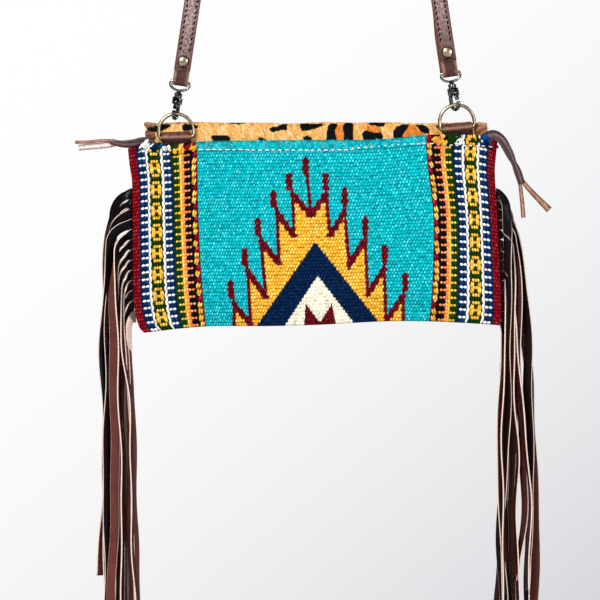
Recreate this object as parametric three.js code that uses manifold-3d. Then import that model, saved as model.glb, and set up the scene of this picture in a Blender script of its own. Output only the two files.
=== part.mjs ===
// A flat fringed purse: woven wool front, hair-on hide back, hanging from a long leather strap.
// Millimetres, +Z up, the front faces -Y. The origin is under the strap's arch, where the purse hangs.
import * as THREE from "three";
import { mergeVertices } from "three/addons/utils/BufferGeometryUtils.js";
import Module from "manifold-3d";

const wasm = await Module();
wasm.setup();

const { lerp, smoothstep, degToRad } = THREE.MathUtils;
const Y_AXIS = new THREE.Vector3(0, 1, 0);
const CLEARANCE = 0.3;

// The purse hangs a little lower on its left. Each row is one end of the strap and what hangs from it.
// eyeX, eyeZ: bar of the clip's eye. ringTilt, clipTurn: degrees. reachTop, reachFoot: how far the
// highest and lowest strip of the fringe bend out from the seam. swing: outward run of the highest strip
// below its bend. driftTop, driftFoot: sideways run of the free ends.
const SIDES = [
  {
    name: "left", sign: -1, eyeX: -95, eyeZ: -549, ringTilt: -2, clipTurn: -15,
    reachTop: 13, reachFoot: 6.5, swing: 8.6, driftTop: 2, driftFoot: 7,
  },
  {
    name: "right", sign: 1, eyeX: 94, eyeZ: -542.7, ringTilt: -6, clipTurn: 35,
    reachTop: 10, reachFoot: 5, swing: 14, driftTop: 5, driftFoot: -5,
  },
];

const STRAP = { width: 11.4, thick: 3, archRadius: 12, step: 22, archSteps: 12 };
const STRAP_LOOP = {
  width: 10.4, layer: 1.5, neck: 5.5, top: 9, overlap: 1, inset: 0.05, wrapFrom: 150, wrapTo: 390,
};
const RIVET = {
  up: 14.6, capRadius: 3.8, capHeight: 1.7, domeSteps: 3, postRadius: 1.4, holeRadius: 1.75, sides: 12,
};

const EYE = {
  wire: 0.95, halfBar: 6.8, shoulder: 1.6, depth: 6, stemRadius: 1, flangeRadius: 1.75, flangeTop: -11.5,
  flangeFoot: -12.6, bowSteps: 12,
};
const HOOK = {
  wire: 1, bend: 3.6, barrelTop: -7.4, barrelFoot: -11.2, boreRadius: 1.35, barrelRadius: 2.9,
  yokeTop: -10.8, yokeFoot: -15.8, earInside: 2.05, earFront: -3.2, pinRadius: 0.55, pinSunk: 0.5,
  shankY: 2.5, shankTop: -14, shankFoot: -17.5, noseTop: -20.4, seat: 0.45, bendSteps: 10,
};
const GATE = {
  pivotY: -1.7, pivotZ: -14.3, bossRadius: 1.35, boss: 3.4, hole: 0.95, bar: 1.5, barHalf: 0.9, barTop: -0.5,
  knob: 2.2, knobRadius: 0.6, knobAt: 0.6,
};
const RING = {
  wire: 1.25, halfWidth: 12.15, height: 16.4, corner: 1.8, belowEye: 22.5, bowSteps: 14, cornerSteps: 3,
};
const TAB = { width: 20.6, layer: 1.6, legFront: -0.7, legFoot: -10.2 };

// The pouch stands in its own frame: the seam plane is y = 0 and heights run from its lowest middle.
const POUCH = { y: 3.4, z: -719, halfWidth: 128, sag: 0.8 };
const SEAM = {
  gap: 0.15, fringeGap: 1, gapFrom: 9.7, gapTo: 3.7, closeFrom: 10, closeTo: 22, sideRise: 8, footRise: 20,
};
const CLOTH = { thick: 2.6, hemExtra: 1.5, hemDeep: 7, mouth: 4.25, belly: 6.5, edgeRound: 2.5 };
const HIDE = { thick: 1.8, mouth: 3.15, belly: 7.5, top: 0.97 };
const BAND = { halfWidth: 119.6, front: 0.1, back: 5.15, top: 142, frontFoot: 112, backFoot: 118 };
const ZIP = { halfWidth: 117, top: 119.4, thick: 1.6, ridge: 1.2, back: -0.2, spans: 6 };

// Outline of the pouch from the side seams inwards: across runs from -1 (left) to 1 (right).
const OUTLINE = [
  { across: -1.0, top: 123.6, foot: -5.6 },
  { across: -0.92, top: 125.2, foot: -4.4 },
  { across: -0.78, top: 125.6, foot: -2.4 },
  { across: -0.62, top: 128.2, foot: -1.0 },
  { across: -0.3, top: 129.0, foot: -0.9 },
  { across: 0.0, top: 129.3, foot: 0.1 },
  { across: 0.35, top: 129.7, foot: 2.4 },
  { across: 0.6, top: 132.6, foot: 2.4 },
  { across: 0.76, top: 133.3, foot: 1.6 },
  { across: 0.92, top: 132.2, foot: 0.4 },
  { across: 1.0, top: 129.0, foot: -0.4 },
];
// Where the side seams run: up is 0 at the foot and 1 at the cloth's top edge.
const EDGES = [
  { up: 0.0, left: -120.4, right: 128.6 },
  { up: 0.025, left: -123.4, right: 129.4 },
  { up: 0.09, left: -126.2, right: 130.0 },
  { up: 0.2, left: -128.0, right: 129.4 },
  { up: 0.5, left: -128.3, right: 127.5 },
  { up: 0.7, left: -128.6, right: 126.2 },
  { up: 0.83, left: -129.0, right: 125.3 },
  { up: 0.91, left: -130.6, right: 126.0 },
  { up: 1.0, left: -131.8, right: 127.2 },
];
const SEAM_DISTANCES = [0, 1.2, 3.7, 6.5, 9.7, 25, 45, 70, 98];
const WALL_HEIGHTS = [0, 0.01, 0.03, 0.08, 0.16, 0.3, 0.45, 0.6, 0.75, 0.88, 0.945, 0.98, 0.994, 1];

const FRINGE = {
  strips: 13, top: 95, foot: 2, thick: 1.4, width: 6.6, length: 278, headInside: 3.4, headOutside: 0.8,
  headSpans: 3, drop: 1.2, bendLength: 1.5, arcSteps: 5, hangSteps: 6, stepGrowth: 1.5, swingRun: 60,
  turnIn: 10, turnMid: 28, turnEnd: 12, turnRun: 0.4, layers: 5, layerStep: 3.2, layerFrom: 0.3, layerTo: 1.7,
};

// Leather laces at the zip's ends: the route of the doubled root, then of its two tails.
const LACE = { width: 6.4, tail: 3.4, thick: 2, tailThick: 1.6, steps: 7 };
const LACES = {
  left: {
    root: [
      [-113.6, -2.2, 120.5], [-115, -2.2, 126], [-120, -2.4, 130.8], [-130, -3, 129.6], [-143, -3.4, 127.4],
    ],
    tails: [
      [[-141, -3.4, 129], [-150, -3.8, 129], [-160, -3.8, 127.6], [-169, -3.6, 128]],
      [[-141, -3.4, 126], [-148, -3.2, 125.4], [-156, -3, 123.6], [-161.5, -2.8, 121.6]],
    ],
  },
  right: {
    root: [
      [113.8, -2.2, 120.7], [116.4, -2.2, 130], [121.8, -3.4, 138.2], [130, -7.2, 131.8], [135, -7, 120],
      [141.5, -6.6, 103],
    ],
    tails: [
      [[140.3, -5.9, 105], [144, -6.6, 95], [145.6, -7, 85], [144.6, -7, 75]],
      [[142, -6.1, 106], [149, -6.4, 98], [157, -6.4, 90], [163, -6.2, 80.5]],
    ],
  },
};

const COLOURS = {
  wool: { color: 0x0fb9c4, roughness: 0.95, metalness: 0 },
  hide: { color: 0xcf9a56, roughness: 0.85, metalness: 0 },
  leather: { color: 0x5a342f, roughness: 0.55, metalness: 0 },
  fringe: { color: 0x3a2021, roughness: 0.5, metalness: 0 },
  zip: { color: 0x2a2220, roughness: 0.7, metalness: 0 },
  brass: { color: 0x8a6a45, roughness: 0.35, metalness: 1 },
  gunmetal: { color: 0x4a4a4d, roughness: 0.3, metalness: 1 },
};

const purse = new THREE.Group();

function addPiece(parent, name, geometry, colour) {
  geometry.computeVertexNormals();
  const mesh = new THREE.Mesh(geometry, new THREE.MeshStandardMaterial(COLOURS[colour]));
  mesh.name = name;
  parent.add(mesh);
}

// Points and triangles as one geometry whose faces point outwards.
function closedMesh(points, faces) {
  let volume = 0;
  for (const [a, b, c] of faces) {
    volume += points[a].dot(new THREE.Vector3().crossVectors(points[b], points[c]));
  }
  const outward = volume > 0 ? faces : faces.map(([a, b, c]) => [a, c, b]);
  const geometry = new THREE.BufferGeometry().setFromPoints(points);
  geometry.setIndex(outward.flat());
  return geometry;
}

// A row of rings, each with the same number of points, skinned into one body.
function loft(rings, closed = false) {
  const count = rings[0].length;
  const spans = closed ? rings.length : rings.length - 1;
  const faces = [];
  for (let i = 0; i < spans; i++) {
    const here = i * count;
    const next = ((i + 1) % rings.length) * count;
    for (let j = 0; j < count; j++) {
      const k = (j + 1) % count;
      faces.push([here + j, next + j, next + k], [here + j, next + k, here + k]);
    }
  }
  if (!closed) {
    const end = spans * count;
    for (let j = 1; j < count - 1; j++) {
      faces.push([0, j, j + 1], [end, end + j + 1, end + j]);
    }
  }
  return closedMesh(rings.flat(), faces);
}

// A thin wall between two grids of points, closed round its rim.
function wall(inside, outside) {
  const rows = inside.length;
  const columns = inside[0].length;
  const offset = rows * columns;
  const at = (i, j) => i * columns + j;
  const faces = [];
  for (let i = 0; i < rows - 1; i++) {
    for (let j = 0; j < columns - 1; j++) {
      const [a, b, c, d] = [at(i, j), at(i, j + 1), at(i + 1, j + 1), at(i + 1, j)];
      faces.push([a, b, c], [a, c, d]);
      faces.push([offset + a, offset + c, offset + b], [offset + a, offset + d, offset + c]);
    }
  }
  const rim = [];
  for (let j = 0; j < columns - 1; j++) rim.push(at(0, j));
  for (let i = 0; i < rows - 1; i++) rim.push(at(i, columns - 1));
  for (let j = columns - 1; j > 0; j--) rim.push(at(rows - 1, j));
  for (let i = rows - 1; i > 0; i--) rim.push(at(i, 0));
  rim.forEach((p, n) => {
    const q = rim[(n + 1) % rim.length];
    faces.push([q, p, offset + p], [q, offset + p, offset + q]);
  });
  return closedMesh([...inside.flat(), ...outside.flat()], faces);
}

// Geometry with shared vertices merged and collapsed triangles left out, ready to join or cut.
function solid(geometry) {
  const bare = geometry.clone();
  bare.deleteAttribute("normal");
  bare.deleteAttribute("uv");
  const merged = mergeVertices(bare, 1e-4);
  const triangles = [];
  for (let i = 0; i < merged.index.count; i += 3) {
    const [a, b, c] = [0, 1, 2].map((corner) => merged.index.getX(i + corner));
    if (a !== b && b !== c && c !== a) triangles.push(a, b, c);
  }
  return new wasm.Manifold(new wasm.Mesh({
    numProp: 3,
    vertProperties: new Float32Array(merged.attributes.position.array),
    triVerts: new Uint32Array(triangles),
  }));
}

function geometryOf(body) {
  const mesh = body.getMesh();
  const geometry = new THREE.BufferGeometry();
  geometry.setAttribute("position", new THREE.Float32BufferAttribute(mesh.vertProperties, 3));
  geometry.setIndex(Array.from(mesh.triVerts));
  return geometry;
}

function join(...geometries) {
  return geometryOf(geometries.map(solid).reduce((body, next) => body.add(next)));
}

function cut(geometry, ...tools) {
  return geometryOf(tools.map(solid).reduce((body, tool) => body.subtract(tool), solid(geometry)));
}

// Extrude an outline drawn in (y, z) along X, centred on x = 0.
function acrossX(shape, width, curveSegments = 10) {
  const geometry = new THREE.ExtrudeGeometry(shape, { depth: width, bevelEnabled: false, curveSegments });
  geometry.translate(0, 0, -width / 2);
  return geometry.applyMatrix4(new THREE.Matrix4().makeBasis(
    new THREE.Vector3(0, 1, 0),
    new THREE.Vector3(0, 0, 1),
    new THREE.Vector3(1, 0, 0),
  ));
}

function block(x, y, z) {
  const size = [x, y, z].map(([low, high]) => high - low);
  const middle = [x, y, z].map(([low, high]) => (low + high) / 2);
  return new THREE.BoxGeometry(...size).translate(...middle);
}

function arc(centreA, centreB, radiusA, radiusB, from, to, steps) {
  return Array.from({ length: steps + 1 }, (_, i) => {
    const angle = degToRad(lerp(from, to, i / steps));
    return [centreA + radiusA * Math.cos(angle), centreB + radiusB * Math.sin(angle)];
  });
}

// Round wire along a flat path: normal is square to the plane that the path lies in.
function wire(path, radius, normal, { closed = false, sides = 8 } = {}) {
  const rings = path.map((point, i) => {
    const before = path[closed ? (i + path.length - 1) % path.length : Math.max(i - 1, 0)];
    const after = path[closed ? (i + 1) % path.length : Math.min(i + 1, path.length - 1)];
    const tangent = after.clone().sub(before).normalize();
    const side = new THREE.Vector3().crossVectors(tangent, normal);
    return Array.from({ length: sides }, (_, j) => {
      const angle = (2 * Math.PI * j) / sides;
      return point.clone()
        .addScaledVector(normal, radius * Math.cos(angle))
        .addScaledVector(side, radius * Math.sin(angle));
    });
  });
  return loft(rings, closed);
}

// Four corners of a flat strip's section.
function stripSection(centre, widthDirection, thickDirection, width, thick) {
  const corners = [[-1, -1], [1, -1], [1, 1], [-1, 1]];
  return corners.map(([a, b]) => centre.clone()
    .addScaledVector(widthDirection, (a * width) / 2)
    .addScaledVector(thickDirection, (b * thick) / 2));
}

// Value of one column of a table at a place between its rows, on a smooth curve through them.
function along(rows, key, at, column) {
  const last = rows.length - 1;
  const i = Math.min(Math.max(rows.findIndex((row) => row[key] >= at) - 1, 0), last - 1);
  const slope = (n) => {
    const low = rows[Math.max(n - 1, 0)];
    const high = rows[Math.min(n + 1, last)];
    return (high[column] - low[column]) / (high[key] - low[key]);
  };
  const span = rows[i + 1][key] - rows[i][key];
  const t = (at - rows[i][key]) / span;
  const ease = t * t * (3 - 2 * t);
  const rise = span * t * (1 - t) * ((1 - t) * slope(i) - t * slope(i + 1));
  return lerp(rows[i][column], rows[i + 1][column], ease) + rise;
}

// Pouch surfaces: across from -1 to 1, up from 0 at the foot to 1 at the cloth's top edge.
function pouchX(across, up) {
  const [left, right] = ["left", "right"].map((side) => along(EDGES, "up", up, side));
  return lerp(left, right, (across + 1) / 2);
}

function pouchZ(across, up) {
  return lerp(along(OUTLINE, "across", across, "foot"), along(OUTLINE, "across", across, "top"), up);
}

// Distance of a wall's inner face from the seam plane.
function pouchDepth(across, up, { mouth, belly }) {
  const seamDistance = (1 - Math.abs(across)) * POUCH.halfWidth;
  const height = pouchZ(across, up) - pouchZ(across, 0);
  const aboveFringe = pouchZ(across, up) - FRINGE.top;
  const besideFringe = 1 - smoothstep(aboveFringe, SEAM.closeFrom, SEAM.closeTo);
  const spread = besideFringe * (1 - smoothstep(seamDistance, SEAM.gapTo, SEAM.gapFrom));
  const gap = lerp(SEAM.gap, SEAM.fringeGap, spread);
  const rise = smoothstep(seamDistance, 0, SEAM.sideRise) * smoothstep(height, 0, SEAM.footRise);
  return gap + mouth * rise + belly * (1 - across ** 2) * Math.sin(Math.PI * up ** POUCH.sag);
}

// The cloth is doubled in its hem and rounded over at its edges.
function clothThickness(across, up) {
  const toTop = pouchZ(across, 1) - pouchZ(across, up);
  const toFoot = pouchZ(across, up) - pouchZ(across, 0);
  const toSide = (1 - Math.abs(across)) * POUCH.halfWidth;
  const hem = CLOTH.hemExtra * (1 - smoothstep(toTop, CLOTH.hemDeep - 1, CLOTH.hemDeep + 1));
  const round = smoothstep(Math.min(toTop, toFoot, toSide), -CLOTH.edgeRound, CLOTH.edgeRound);
  return (CLOTH.thick + hem) * round;
}

function wallGrid(top, depthAt) {
  const half = SEAM_DISTANCES.map((distance) => 1 - distance / POUCH.halfWidth);
  const columns = [...half.map((across) => -across), 0, ...half.reverse()];
  return WALL_HEIGHTS.map((height) => columns.map((across) => {
    const up = height * top;
    return new THREE.Vector3(pouchX(across, up), depthAt(across, up), pouchZ(across, up));
  }));
}

function wovenPanel() {
  const inside = (across, up) => -pouchDepth(across, up, CLOTH);
  const outside = (across, up) => inside(across, up) - clothThickness(across, up);
  return wall(wallGrid(1, inside), wallGrid(1, outside));
}

// The hide folds forward over its top, and the front leg of the fold hides behind the cloth's hem.
function foldedBand() {
  const centre = (BAND.front + BAND.back) / 2;
  const outer = (BAND.back - BAND.front) / 2;
  const inner = outer - HIDE.thick;
  const shoulder = BAND.top - outer;
  const fold = new THREE.Shape();
  fold.moveTo(BAND.back, BAND.backFoot);
  fold.absarc(centre, shoulder, outer, 0, Math.PI, false);
  fold.lineTo(BAND.front, BAND.frontFoot);
  fold.lineTo(BAND.front + HIDE.thick, BAND.frontFoot);
  fold.absarc(centre, shoulder, inner, Math.PI, 0, true);
  fold.lineTo(BAND.back - HIDE.thick, BAND.backFoot);
  return acrossX(fold, 2 * BAND.halfWidth, 6);
}

function hidePanel() {
  const inside = (across, up) => pouchDepth(across, up, HIDE);
  const outside = (across, up) => inside(across, up) + HIDE.thick;
  return join(wall(wallGrid(HIDE.top, inside), wallGrid(HIDE.top, outside)), foldedBand());
}

function zipChain() {
  const up = ZIP.top / pouchZ(0, 1);
  const foot = ZIP.top - ZIP.ridge - ZIP.thick;
  const edge = ZIP.top - ZIP.ridge;
  return loft(Array.from({ length: ZIP.spans + 1 }, (_, i) => {
    const x = lerp(-ZIP.halfWidth, ZIP.halfWidth, i / ZIP.spans);
    const front = CLEARANCE - pouchDepth(x / POUCH.halfWidth, up, CLOTH);
    const middle = (front + ZIP.back) / 2;
    const section = [[front, foot], [ZIP.back, foot], [ZIP.back, edge], [middle, ZIP.top], [front, edge]];
    return section.map(([y, z]) => new THREE.Vector3(x, y, z));
  }));
}

function laceStrip(route, width, thick) {
  const curve = new THREE.CatmullRomCurve3(route.map((point) => new THREE.Vector3(...point)));
  const rings = Array.from({ length: LACE.steps + 1 }, (_, i) => {
    const tangent = curve.getTangentAt(i / LACE.steps);
    const flat = new THREE.Vector3().crossVectors(tangent, Y_AXIS).normalize();
    const face = new THREE.Vector3().crossVectors(flat, tangent);
    return stripSection(curve.getPointAt(i / LACE.steps), flat, face, width, thick);
  });
  return loft(rings);
}

function zipPull({ root, tails }) {
  const strips = tails.map((tail) => laceStrip(tail, LACE.tail, LACE.tailThick));
  return join(laceStrip(root, LACE.width, LACE.thick), ...strips);
}

// A number between -1 and 1 that differs from strip to strip.
function scatter(index) {
  return Math.sin(12.9 * index + 14.6);
}

function seamX(sign, z) {
  const up = (z - pouchZ(sign, 0)) / (pouchZ(sign, 1) - pouchZ(sign, 0));
  return pouchX(sign, up);
}

function fringeHead({ sign }) {
  return loft(Array.from({ length: FRINGE.headSpans + 1 }, (_, i) => {
    const z = lerp(FRINGE.foot, FRINGE.top, i / FRINGE.headSpans);
    const inner = seamX(sign, z) - sign * FRINGE.headInside;
    const outer = seamX(sign, z) + sign * FRINGE.headOutside;
    const half = FRINGE.thick / 2;
    const section = [[inner, -half], [outer, -half], [outer, half], [inner, half]];
    return section.map(([x, y]) => new THREE.Vector3(x, y, z));
  }));
}

// Each strip leaves the seam edge-up, bends down in a quarter ellipse and hangs with a slow turn.
function fringeStrip(side, index) {
  const fromTop = index / (FRINGE.strips - 1);
  const pitch = (FRINGE.top - FRINGE.foot) / FRINGE.strips;
  const rootZ = FRINGE.top - pitch * (index + 0.5);
  const rootX = seamX(side.sign, rootZ);
  const reach = lerp(side.reachTop, side.reachFoot, fromTop);
  const swing = side.sign * side.swing * (1 - fromTop);
  const drop = FRINGE.drop * reach;
  const drift = lerp(side.driftTop, side.driftFoot, fromTop);
  const layer = FRINGE.layerStep * ((2 * index + 3) % FRINGE.layers - (FRINGE.layers - 1) / 2);
  const endTurn = FRINGE.turnEnd * scatter(index);
  const hang = FRINGE.length - FRINGE.bendLength * reach;
  const bendX = rootX + side.sign * reach;
  const rings = [];
  const addRing = (x, y, z, slope, turn) => {
    const plane = new THREE.Vector3(side.sign * Math.sin(slope), 0, Math.cos(slope));
    const flat = plane.clone().multiplyScalar(Math.cos(turn)).addScaledVector(Y_AXIS, Math.sin(turn));
    const face = plane.multiplyScalar(-Math.sin(turn)).addScaledVector(Y_AXIS, Math.cos(turn));
    rings.push(stripSection(new THREE.Vector3(x, y, z), flat, face, FRINGE.width, FRINGE.thick));
  };
  for (let i = 0; i <= FRINGE.arcSteps; i++) {
    const angle = (Math.PI / 2) * (i / FRINGE.arcSteps);
    const turn = degToRad(FRINGE.turnMid * smoothstep(reach * Math.sin(angle), 0, FRINGE.turnIn));
    const x = rootX + side.sign * reach * Math.sin(angle);
    const y = layer * smoothstep(angle, FRINGE.layerFrom, FRINGE.layerTo);
    addRing(x, y, rootZ - drop * (1 - Math.cos(angle)), angle, turn);
  }
  for (let i = 1; i <= FRINGE.hangSteps; i++) {
    const down = (i / FRINGE.hangSteps) ** FRINGE.stepGrowth;
    const turn = degToRad(lerp(FRINGE.turnMid, endTurn, smoothstep(down, 0, FRINGE.turnRun)));
    const out = swing * (1 - Math.exp((-hang * down) / FRINGE.swingRun));
    addRing(bendX + out + drift * down, layer, rootZ - drop - hang * down, Math.PI / 2, turn);
  }
  return loft(rings);
}

function fringe(side) {
  const strips = Array.from({ length: FRINGE.strips }, (_, index) => fringeStrip(side, index));
  return join(fringeHead(side), ...strips);
}

// Lean of a strap run from the vertical, in radians, where it is tangent to the strap's arch.
function strapRun({ eyeX, eyeZ }) {
  const radius = STRAP.archRadius + STRAP.thick / 2;
  const toArch = Math.hypot(eyeX, -STRAP.archRadius - eyeZ);
  const lean = Math.atan2(Math.abs(eyeX), -STRAP.archRadius - eyeZ) - Math.asin(radius / toArch);
  return { lean, length: Math.sqrt(toArch ** 2 - radius ** 2), radius };
}

// Stations from one eye over the arch to the other. The strap faces forward at the clips and
// turns a quarter on the way up, so that it lies flat over the arch.
function strapStations() {
  const start = STRAP_LOOP.top - STRAP_LOOP.overlap;
  const runs = SIDES.map((side) => {
    const { lean, length } = strapRun(side);
    const count = Math.round(length / STRAP.step);
    return Array.from({ length: count }, (_, i) => {
      const up = lerp(start, length, i / count);
      const x = side.eyeX - side.sign * up * Math.sin(lean);
      return {
        point: new THREE.Vector3(x, 0, side.eyeZ + up * Math.cos(lean)),
        tangent: new THREE.Vector3(Math.sin(lean), 0, -side.sign * Math.cos(lean)),
        turn: (Math.PI / 2) * smoothstep(up, 0, length),
      };
    });
  });
  const [left, right] = SIDES.map((side) => strapRun(side).lean);
  const { radius } = strapRun(SIDES[0]);
  const arch = Array.from({ length: STRAP.archSteps + 1 }, (_, i) => {
    const angle = lerp(Math.PI - left, right, i / STRAP.archSteps);
    return {
      point: new THREE.Vector3(radius * Math.cos(angle), 0, radius * Math.sin(angle) - STRAP.archRadius),
      tangent: new THREE.Vector3(Math.sin(angle), 0, -Math.cos(angle)),
      turn: Math.PI / 2,
    };
  });
  return [...runs[0], ...arch, ...runs[1].reverse()];
}

function strapBand() {
  return loft(strapStations().map(({ point, tangent, turn }) => {
    const plane = new THREE.Vector3(tangent.z, 0, -tangent.x);
    const flat = plane.clone().multiplyScalar(Math.cos(turn)).addScaledVector(Y_AXIS, Math.sin(turn));
    const face = plane.multiplyScalar(-Math.sin(turn)).addScaledVector(Y_AXIS, Math.cos(turn));
    return stripSection(point, flat, face, STRAP.width, STRAP.thick);
  }));
}

// The strap's end folded round the bar of the eye, seen from its edge.
function strapLoop() {
  const hole = EYE.wire + CLEARANCE;
  const outer = hole + STRAP_LOOP.layer;
  const neck = STRAP.thick / 2 - STRAP_LOOP.inset;
  const shape = new THREE.Shape();
  shape.moveTo(-neck, STRAP_LOOP.top);
  shape.lineTo(-neck, STRAP_LOOP.neck);
  shape.absarc(0, 0, outer, degToRad(STRAP_LOOP.wrapFrom), degToRad(STRAP_LOOP.wrapTo), false);
  shape.lineTo(neck, STRAP_LOOP.neck);
  shape.lineTo(neck, STRAP_LOOP.top);
  shape.holes.push(new THREE.Path().absarc(0, 0, hole, 0, 2 * Math.PI, true));
  return acrossX(shape, STRAP_LOOP.width, 8);
}

function strap(clipFrames) {
  const loops = clipFrames.map((frame) => strapLoop().applyMatrix4(frame));
  const holes = clipFrames.map((frame) => (
    new THREE.CylinderGeometry(RIVET.holeRadius, RIVET.holeRadius, 3 * STRAP.thick, RIVET.sides)
      .translate(0, 0, RIVET.up)
      .applyMatrix4(frame)
  ));
  return cut(join(strapBand(), ...loops), ...holes);
}

// Two domed caps on one post, closing on the strap from both faces.
function strapRivet() {
  const seat = STRAP.thick / 2 + CLEARANCE;
  const dome = arc(0, seat, RIVET.capRadius, RIVET.capHeight, 0, 90, RIVET.domeSteps);
  const half = [[RIVET.postRadius, seat], ...dome];
  const profile = [...half.map(([r, h]) => [r, -h]).reverse(), ...half];
  const lathe = new THREE.LatheGeometry(profile.map(([r, h]) => new THREE.Vector2(r, h)), RIVET.sides);
  return geometryOf(solid(lathe)).translate(0, 0, RIVET.up);
}

// Profile of (radius, height) pairs turned about the vertical.
function turned(profile, segments = 12) {
  const points = profile.map(([r, h]) => new THREE.Vector2(r, h));
  return geometryOf(solid(new THREE.LatheGeometry(points, segments))).rotateX(Math.PI / 2);
}

function swivelEye() {
  const bow = arc(0, -EYE.shoulder, EYE.halfBar, EYE.depth - EYE.shoulder, 0, -180, EYE.bowSteps);
  const outline = [[EYE.halfBar, 0], ...bow, [-EYE.halfBar, 0]];
  const path = outline.map(([x, z]) => new THREE.Vector3(x, 0, z));
  const stem = turned([
    [0, EYE.flangeFoot], [EYE.flangeRadius, EYE.flangeFoot], [EYE.flangeRadius, EYE.flangeTop],
    [EYE.stemRadius, EYE.flangeTop], [EYE.stemRadius, -EYE.depth], [0, -EYE.depth],
  ]);
  return join(wire(path, EYE.wire, Y_AXIS, { closed: true }), stem);
}

// A round bar along X, centred on the origin.
function barAcross(radius, length, sides = 12) {
  return new THREE.CylinderGeometry(radius, radius, length, sides).rotateZ(Math.PI / 2);
}

// Barrel round the eye's stem, a yoke for the lever, and the bent hook below.
function snapHook() {
  const x = new THREE.Vector3(1, 0, 0);
  const bendZ = -RING.belowEye - RING.wire - HOOK.seat - HOOK.wire + HOOK.bend;
  const bend = arc(0, bendZ, HOOK.bend, HOOK.bend, 0, -180, HOOK.bendSteps);
  const shank = [[HOOK.shankY, HOOK.shankTop], [HOOK.bend, HOOK.shankFoot]];
  const outline = [...shank, ...bend, [-HOOK.bend, HOOK.noseTop]];
  const path = outline.map(([y, z]) => new THREE.Vector3(0, y, z));
  const barrel = turned([
    [HOOK.boreRadius, HOOK.barrelFoot], [HOOK.barrelRadius, HOOK.barrelFoot],
    [HOOK.barrelRadius, HOOK.barrelTop], [HOOK.boreRadius, HOOK.barrelTop],
    [HOOK.boreRadius, HOOK.barrelFoot],
  ]);
  const height = [HOOK.yokeFoot, HOOK.yokeTop];
  const depth = [HOOK.earFront, HOOK.barrelRadius];
  const ears = [-1, 1].map((sign) => {
    const faces = [sign * HOOK.earInside, sign * HOOK.barrelRadius].sort((a, b) => a - b);
    return block(faces, depth, height);
  });
  const back = block([-HOOK.barrelRadius, HOOK.barrelRadius], [HOOK.earInside, HOOK.barrelRadius], height);
  const pin = barAcross(HOOK.pinRadius, 2 * (HOOK.earInside + HOOK.pinSunk))
    .translate(0, GATE.pivotY, GATE.pivotZ);
  return join(barrel, ...ears, back, pin, wire(path, HOOK.wire, x));
}

// Lever that swings inwards on its pin, with a thumb knob outside.
function hookGate() {
  const tip = { y: -HOOK.bend, z: HOOK.noseTop + CLEARANCE };
  const lean = Math.atan2(tip.y - GATE.pivotY, GATE.pivotZ - tip.z);
  const length = (GATE.pivotZ - tip.z) / Math.cos(lean) - GATE.bar / 2;
  const bar = block([-GATE.barHalf, GATE.barHalf], [-GATE.bar / 2, GATE.bar / 2], [-length, GATE.barTop]);
  const knob = new THREE.CylinderGeometry(GATE.knobRadius, GATE.knobRadius, GATE.knob, 8)
    .translate(0, -GATE.knob / 2 - GATE.bar / 4, -GATE.knobAt * length);
  const boss = barAcross(GATE.bossRadius, GATE.boss);
  const lever = cut(join(bar, knob, boss), barAcross(GATE.hole, 2 * GATE.boss));
  return lever.rotateX(lean).translate(0, GATE.pivotY, GATE.pivotZ);
}

// D-ring with its top wire at the origin and its bar below.
function dRing() {
  const { halfWidth, height, corner } = RING;
  const outline = [
    ...arc(0, -halfWidth, halfWidth, halfWidth, 180, 0, RING.bowSteps),
    ...arc(halfWidth - corner, corner - height, corner, corner, 0, -90, RING.cornerSteps),
    ...arc(corner - halfWidth, corner - height, corner, corner, -90, -180, RING.cornerSteps),
  ];
  return wire(outline.map(([x, z]) => new THREE.Vector3(x, 0, z)), RING.wire, Y_AXIS, { closed: true });
}

// Leather folded round the ring's bar, both legs going down behind the cloth's hem.
function ringTab() {
  const hole = RING.wire + CLEARANCE;
  const outer = hole + TAB.layer;
  const tuck = Math.PI + Math.acos(-TAB.legFront / outer);
  const shape = new THREE.Shape();
  shape.moveTo(outer, TAB.legFoot);
  shape.absarc(0, 0, outer, 0, tuck, false);
  shape.lineTo(TAB.legFront, TAB.legFoot);
  shape.holes.push(new THREE.Path().absarc(0, 0, hole, 0, 2 * Math.PI, true));
  return acrossX(shape, TAB.width, 8).translate(0, 0, -RING.height);
}

const pouch = new THREE.Group();
pouch.position.set(0, POUCH.y, POUCH.z);
purse.add(pouch);
addPiece(pouch, "woven_panel", wovenPanel(), "wool");
addPiece(pouch, "hide_panel", hidePanel(), "hide");
addPiece(pouch, "zip_chain", zipChain(), "zip");

const clipFrames = [];
for (const side of SIDES) {
  addPiece(pouch, `fringe_${side.name}`, fringe(side), "fringe");
  addPiece(pouch, `zip_pull_${side.name}`, zipPull(LACES[side.name]), "leather");

  const clip = new THREE.Group();
  clip.position.set(side.eyeX, 0, side.eyeZ);
  clip.rotation.y = -side.sign * strapRun(side).lean;
  clip.updateMatrix();
  clipFrames.push(clip.matrix);
  purse.add(clip);
  addPiece(clip, `strap_rivet_${side.name}`, strapRivet(), "brass");
  addPiece(clip, `swivel_eye_${side.name}`, swivelEye(), "gunmetal");

  const hook = new THREE.Group();
  hook.rotation.z = degToRad(side.clipTurn);
  clip.add(hook);
  addPiece(hook, `snap_hook_${side.name}`, snapHook(), "gunmetal");
  addPiece(hook, `hook_gate_${side.name}`, hookGate(), "gunmetal");

  const ring = new THREE.Group();
  ring.position.set(0, 0, -RING.belowEye).applyMatrix4(clip.matrix);
  ring.rotation.y = degToRad(side.ringTilt);
  purse.add(ring);
  addPiece(ring, `d_ring_${side.name}`, dRing(), "brass");
  addPiece(ring, `ring_tab_${side.name}`, ringTab(), "leather");
}
addPiece(purse, "strap", strap(clipFrames), "leather");

export default purse;
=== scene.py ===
import math
from types import SimpleNamespace as Sizes

import bpy
import numpy as np
from mathutils import Matrix, Vector


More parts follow.
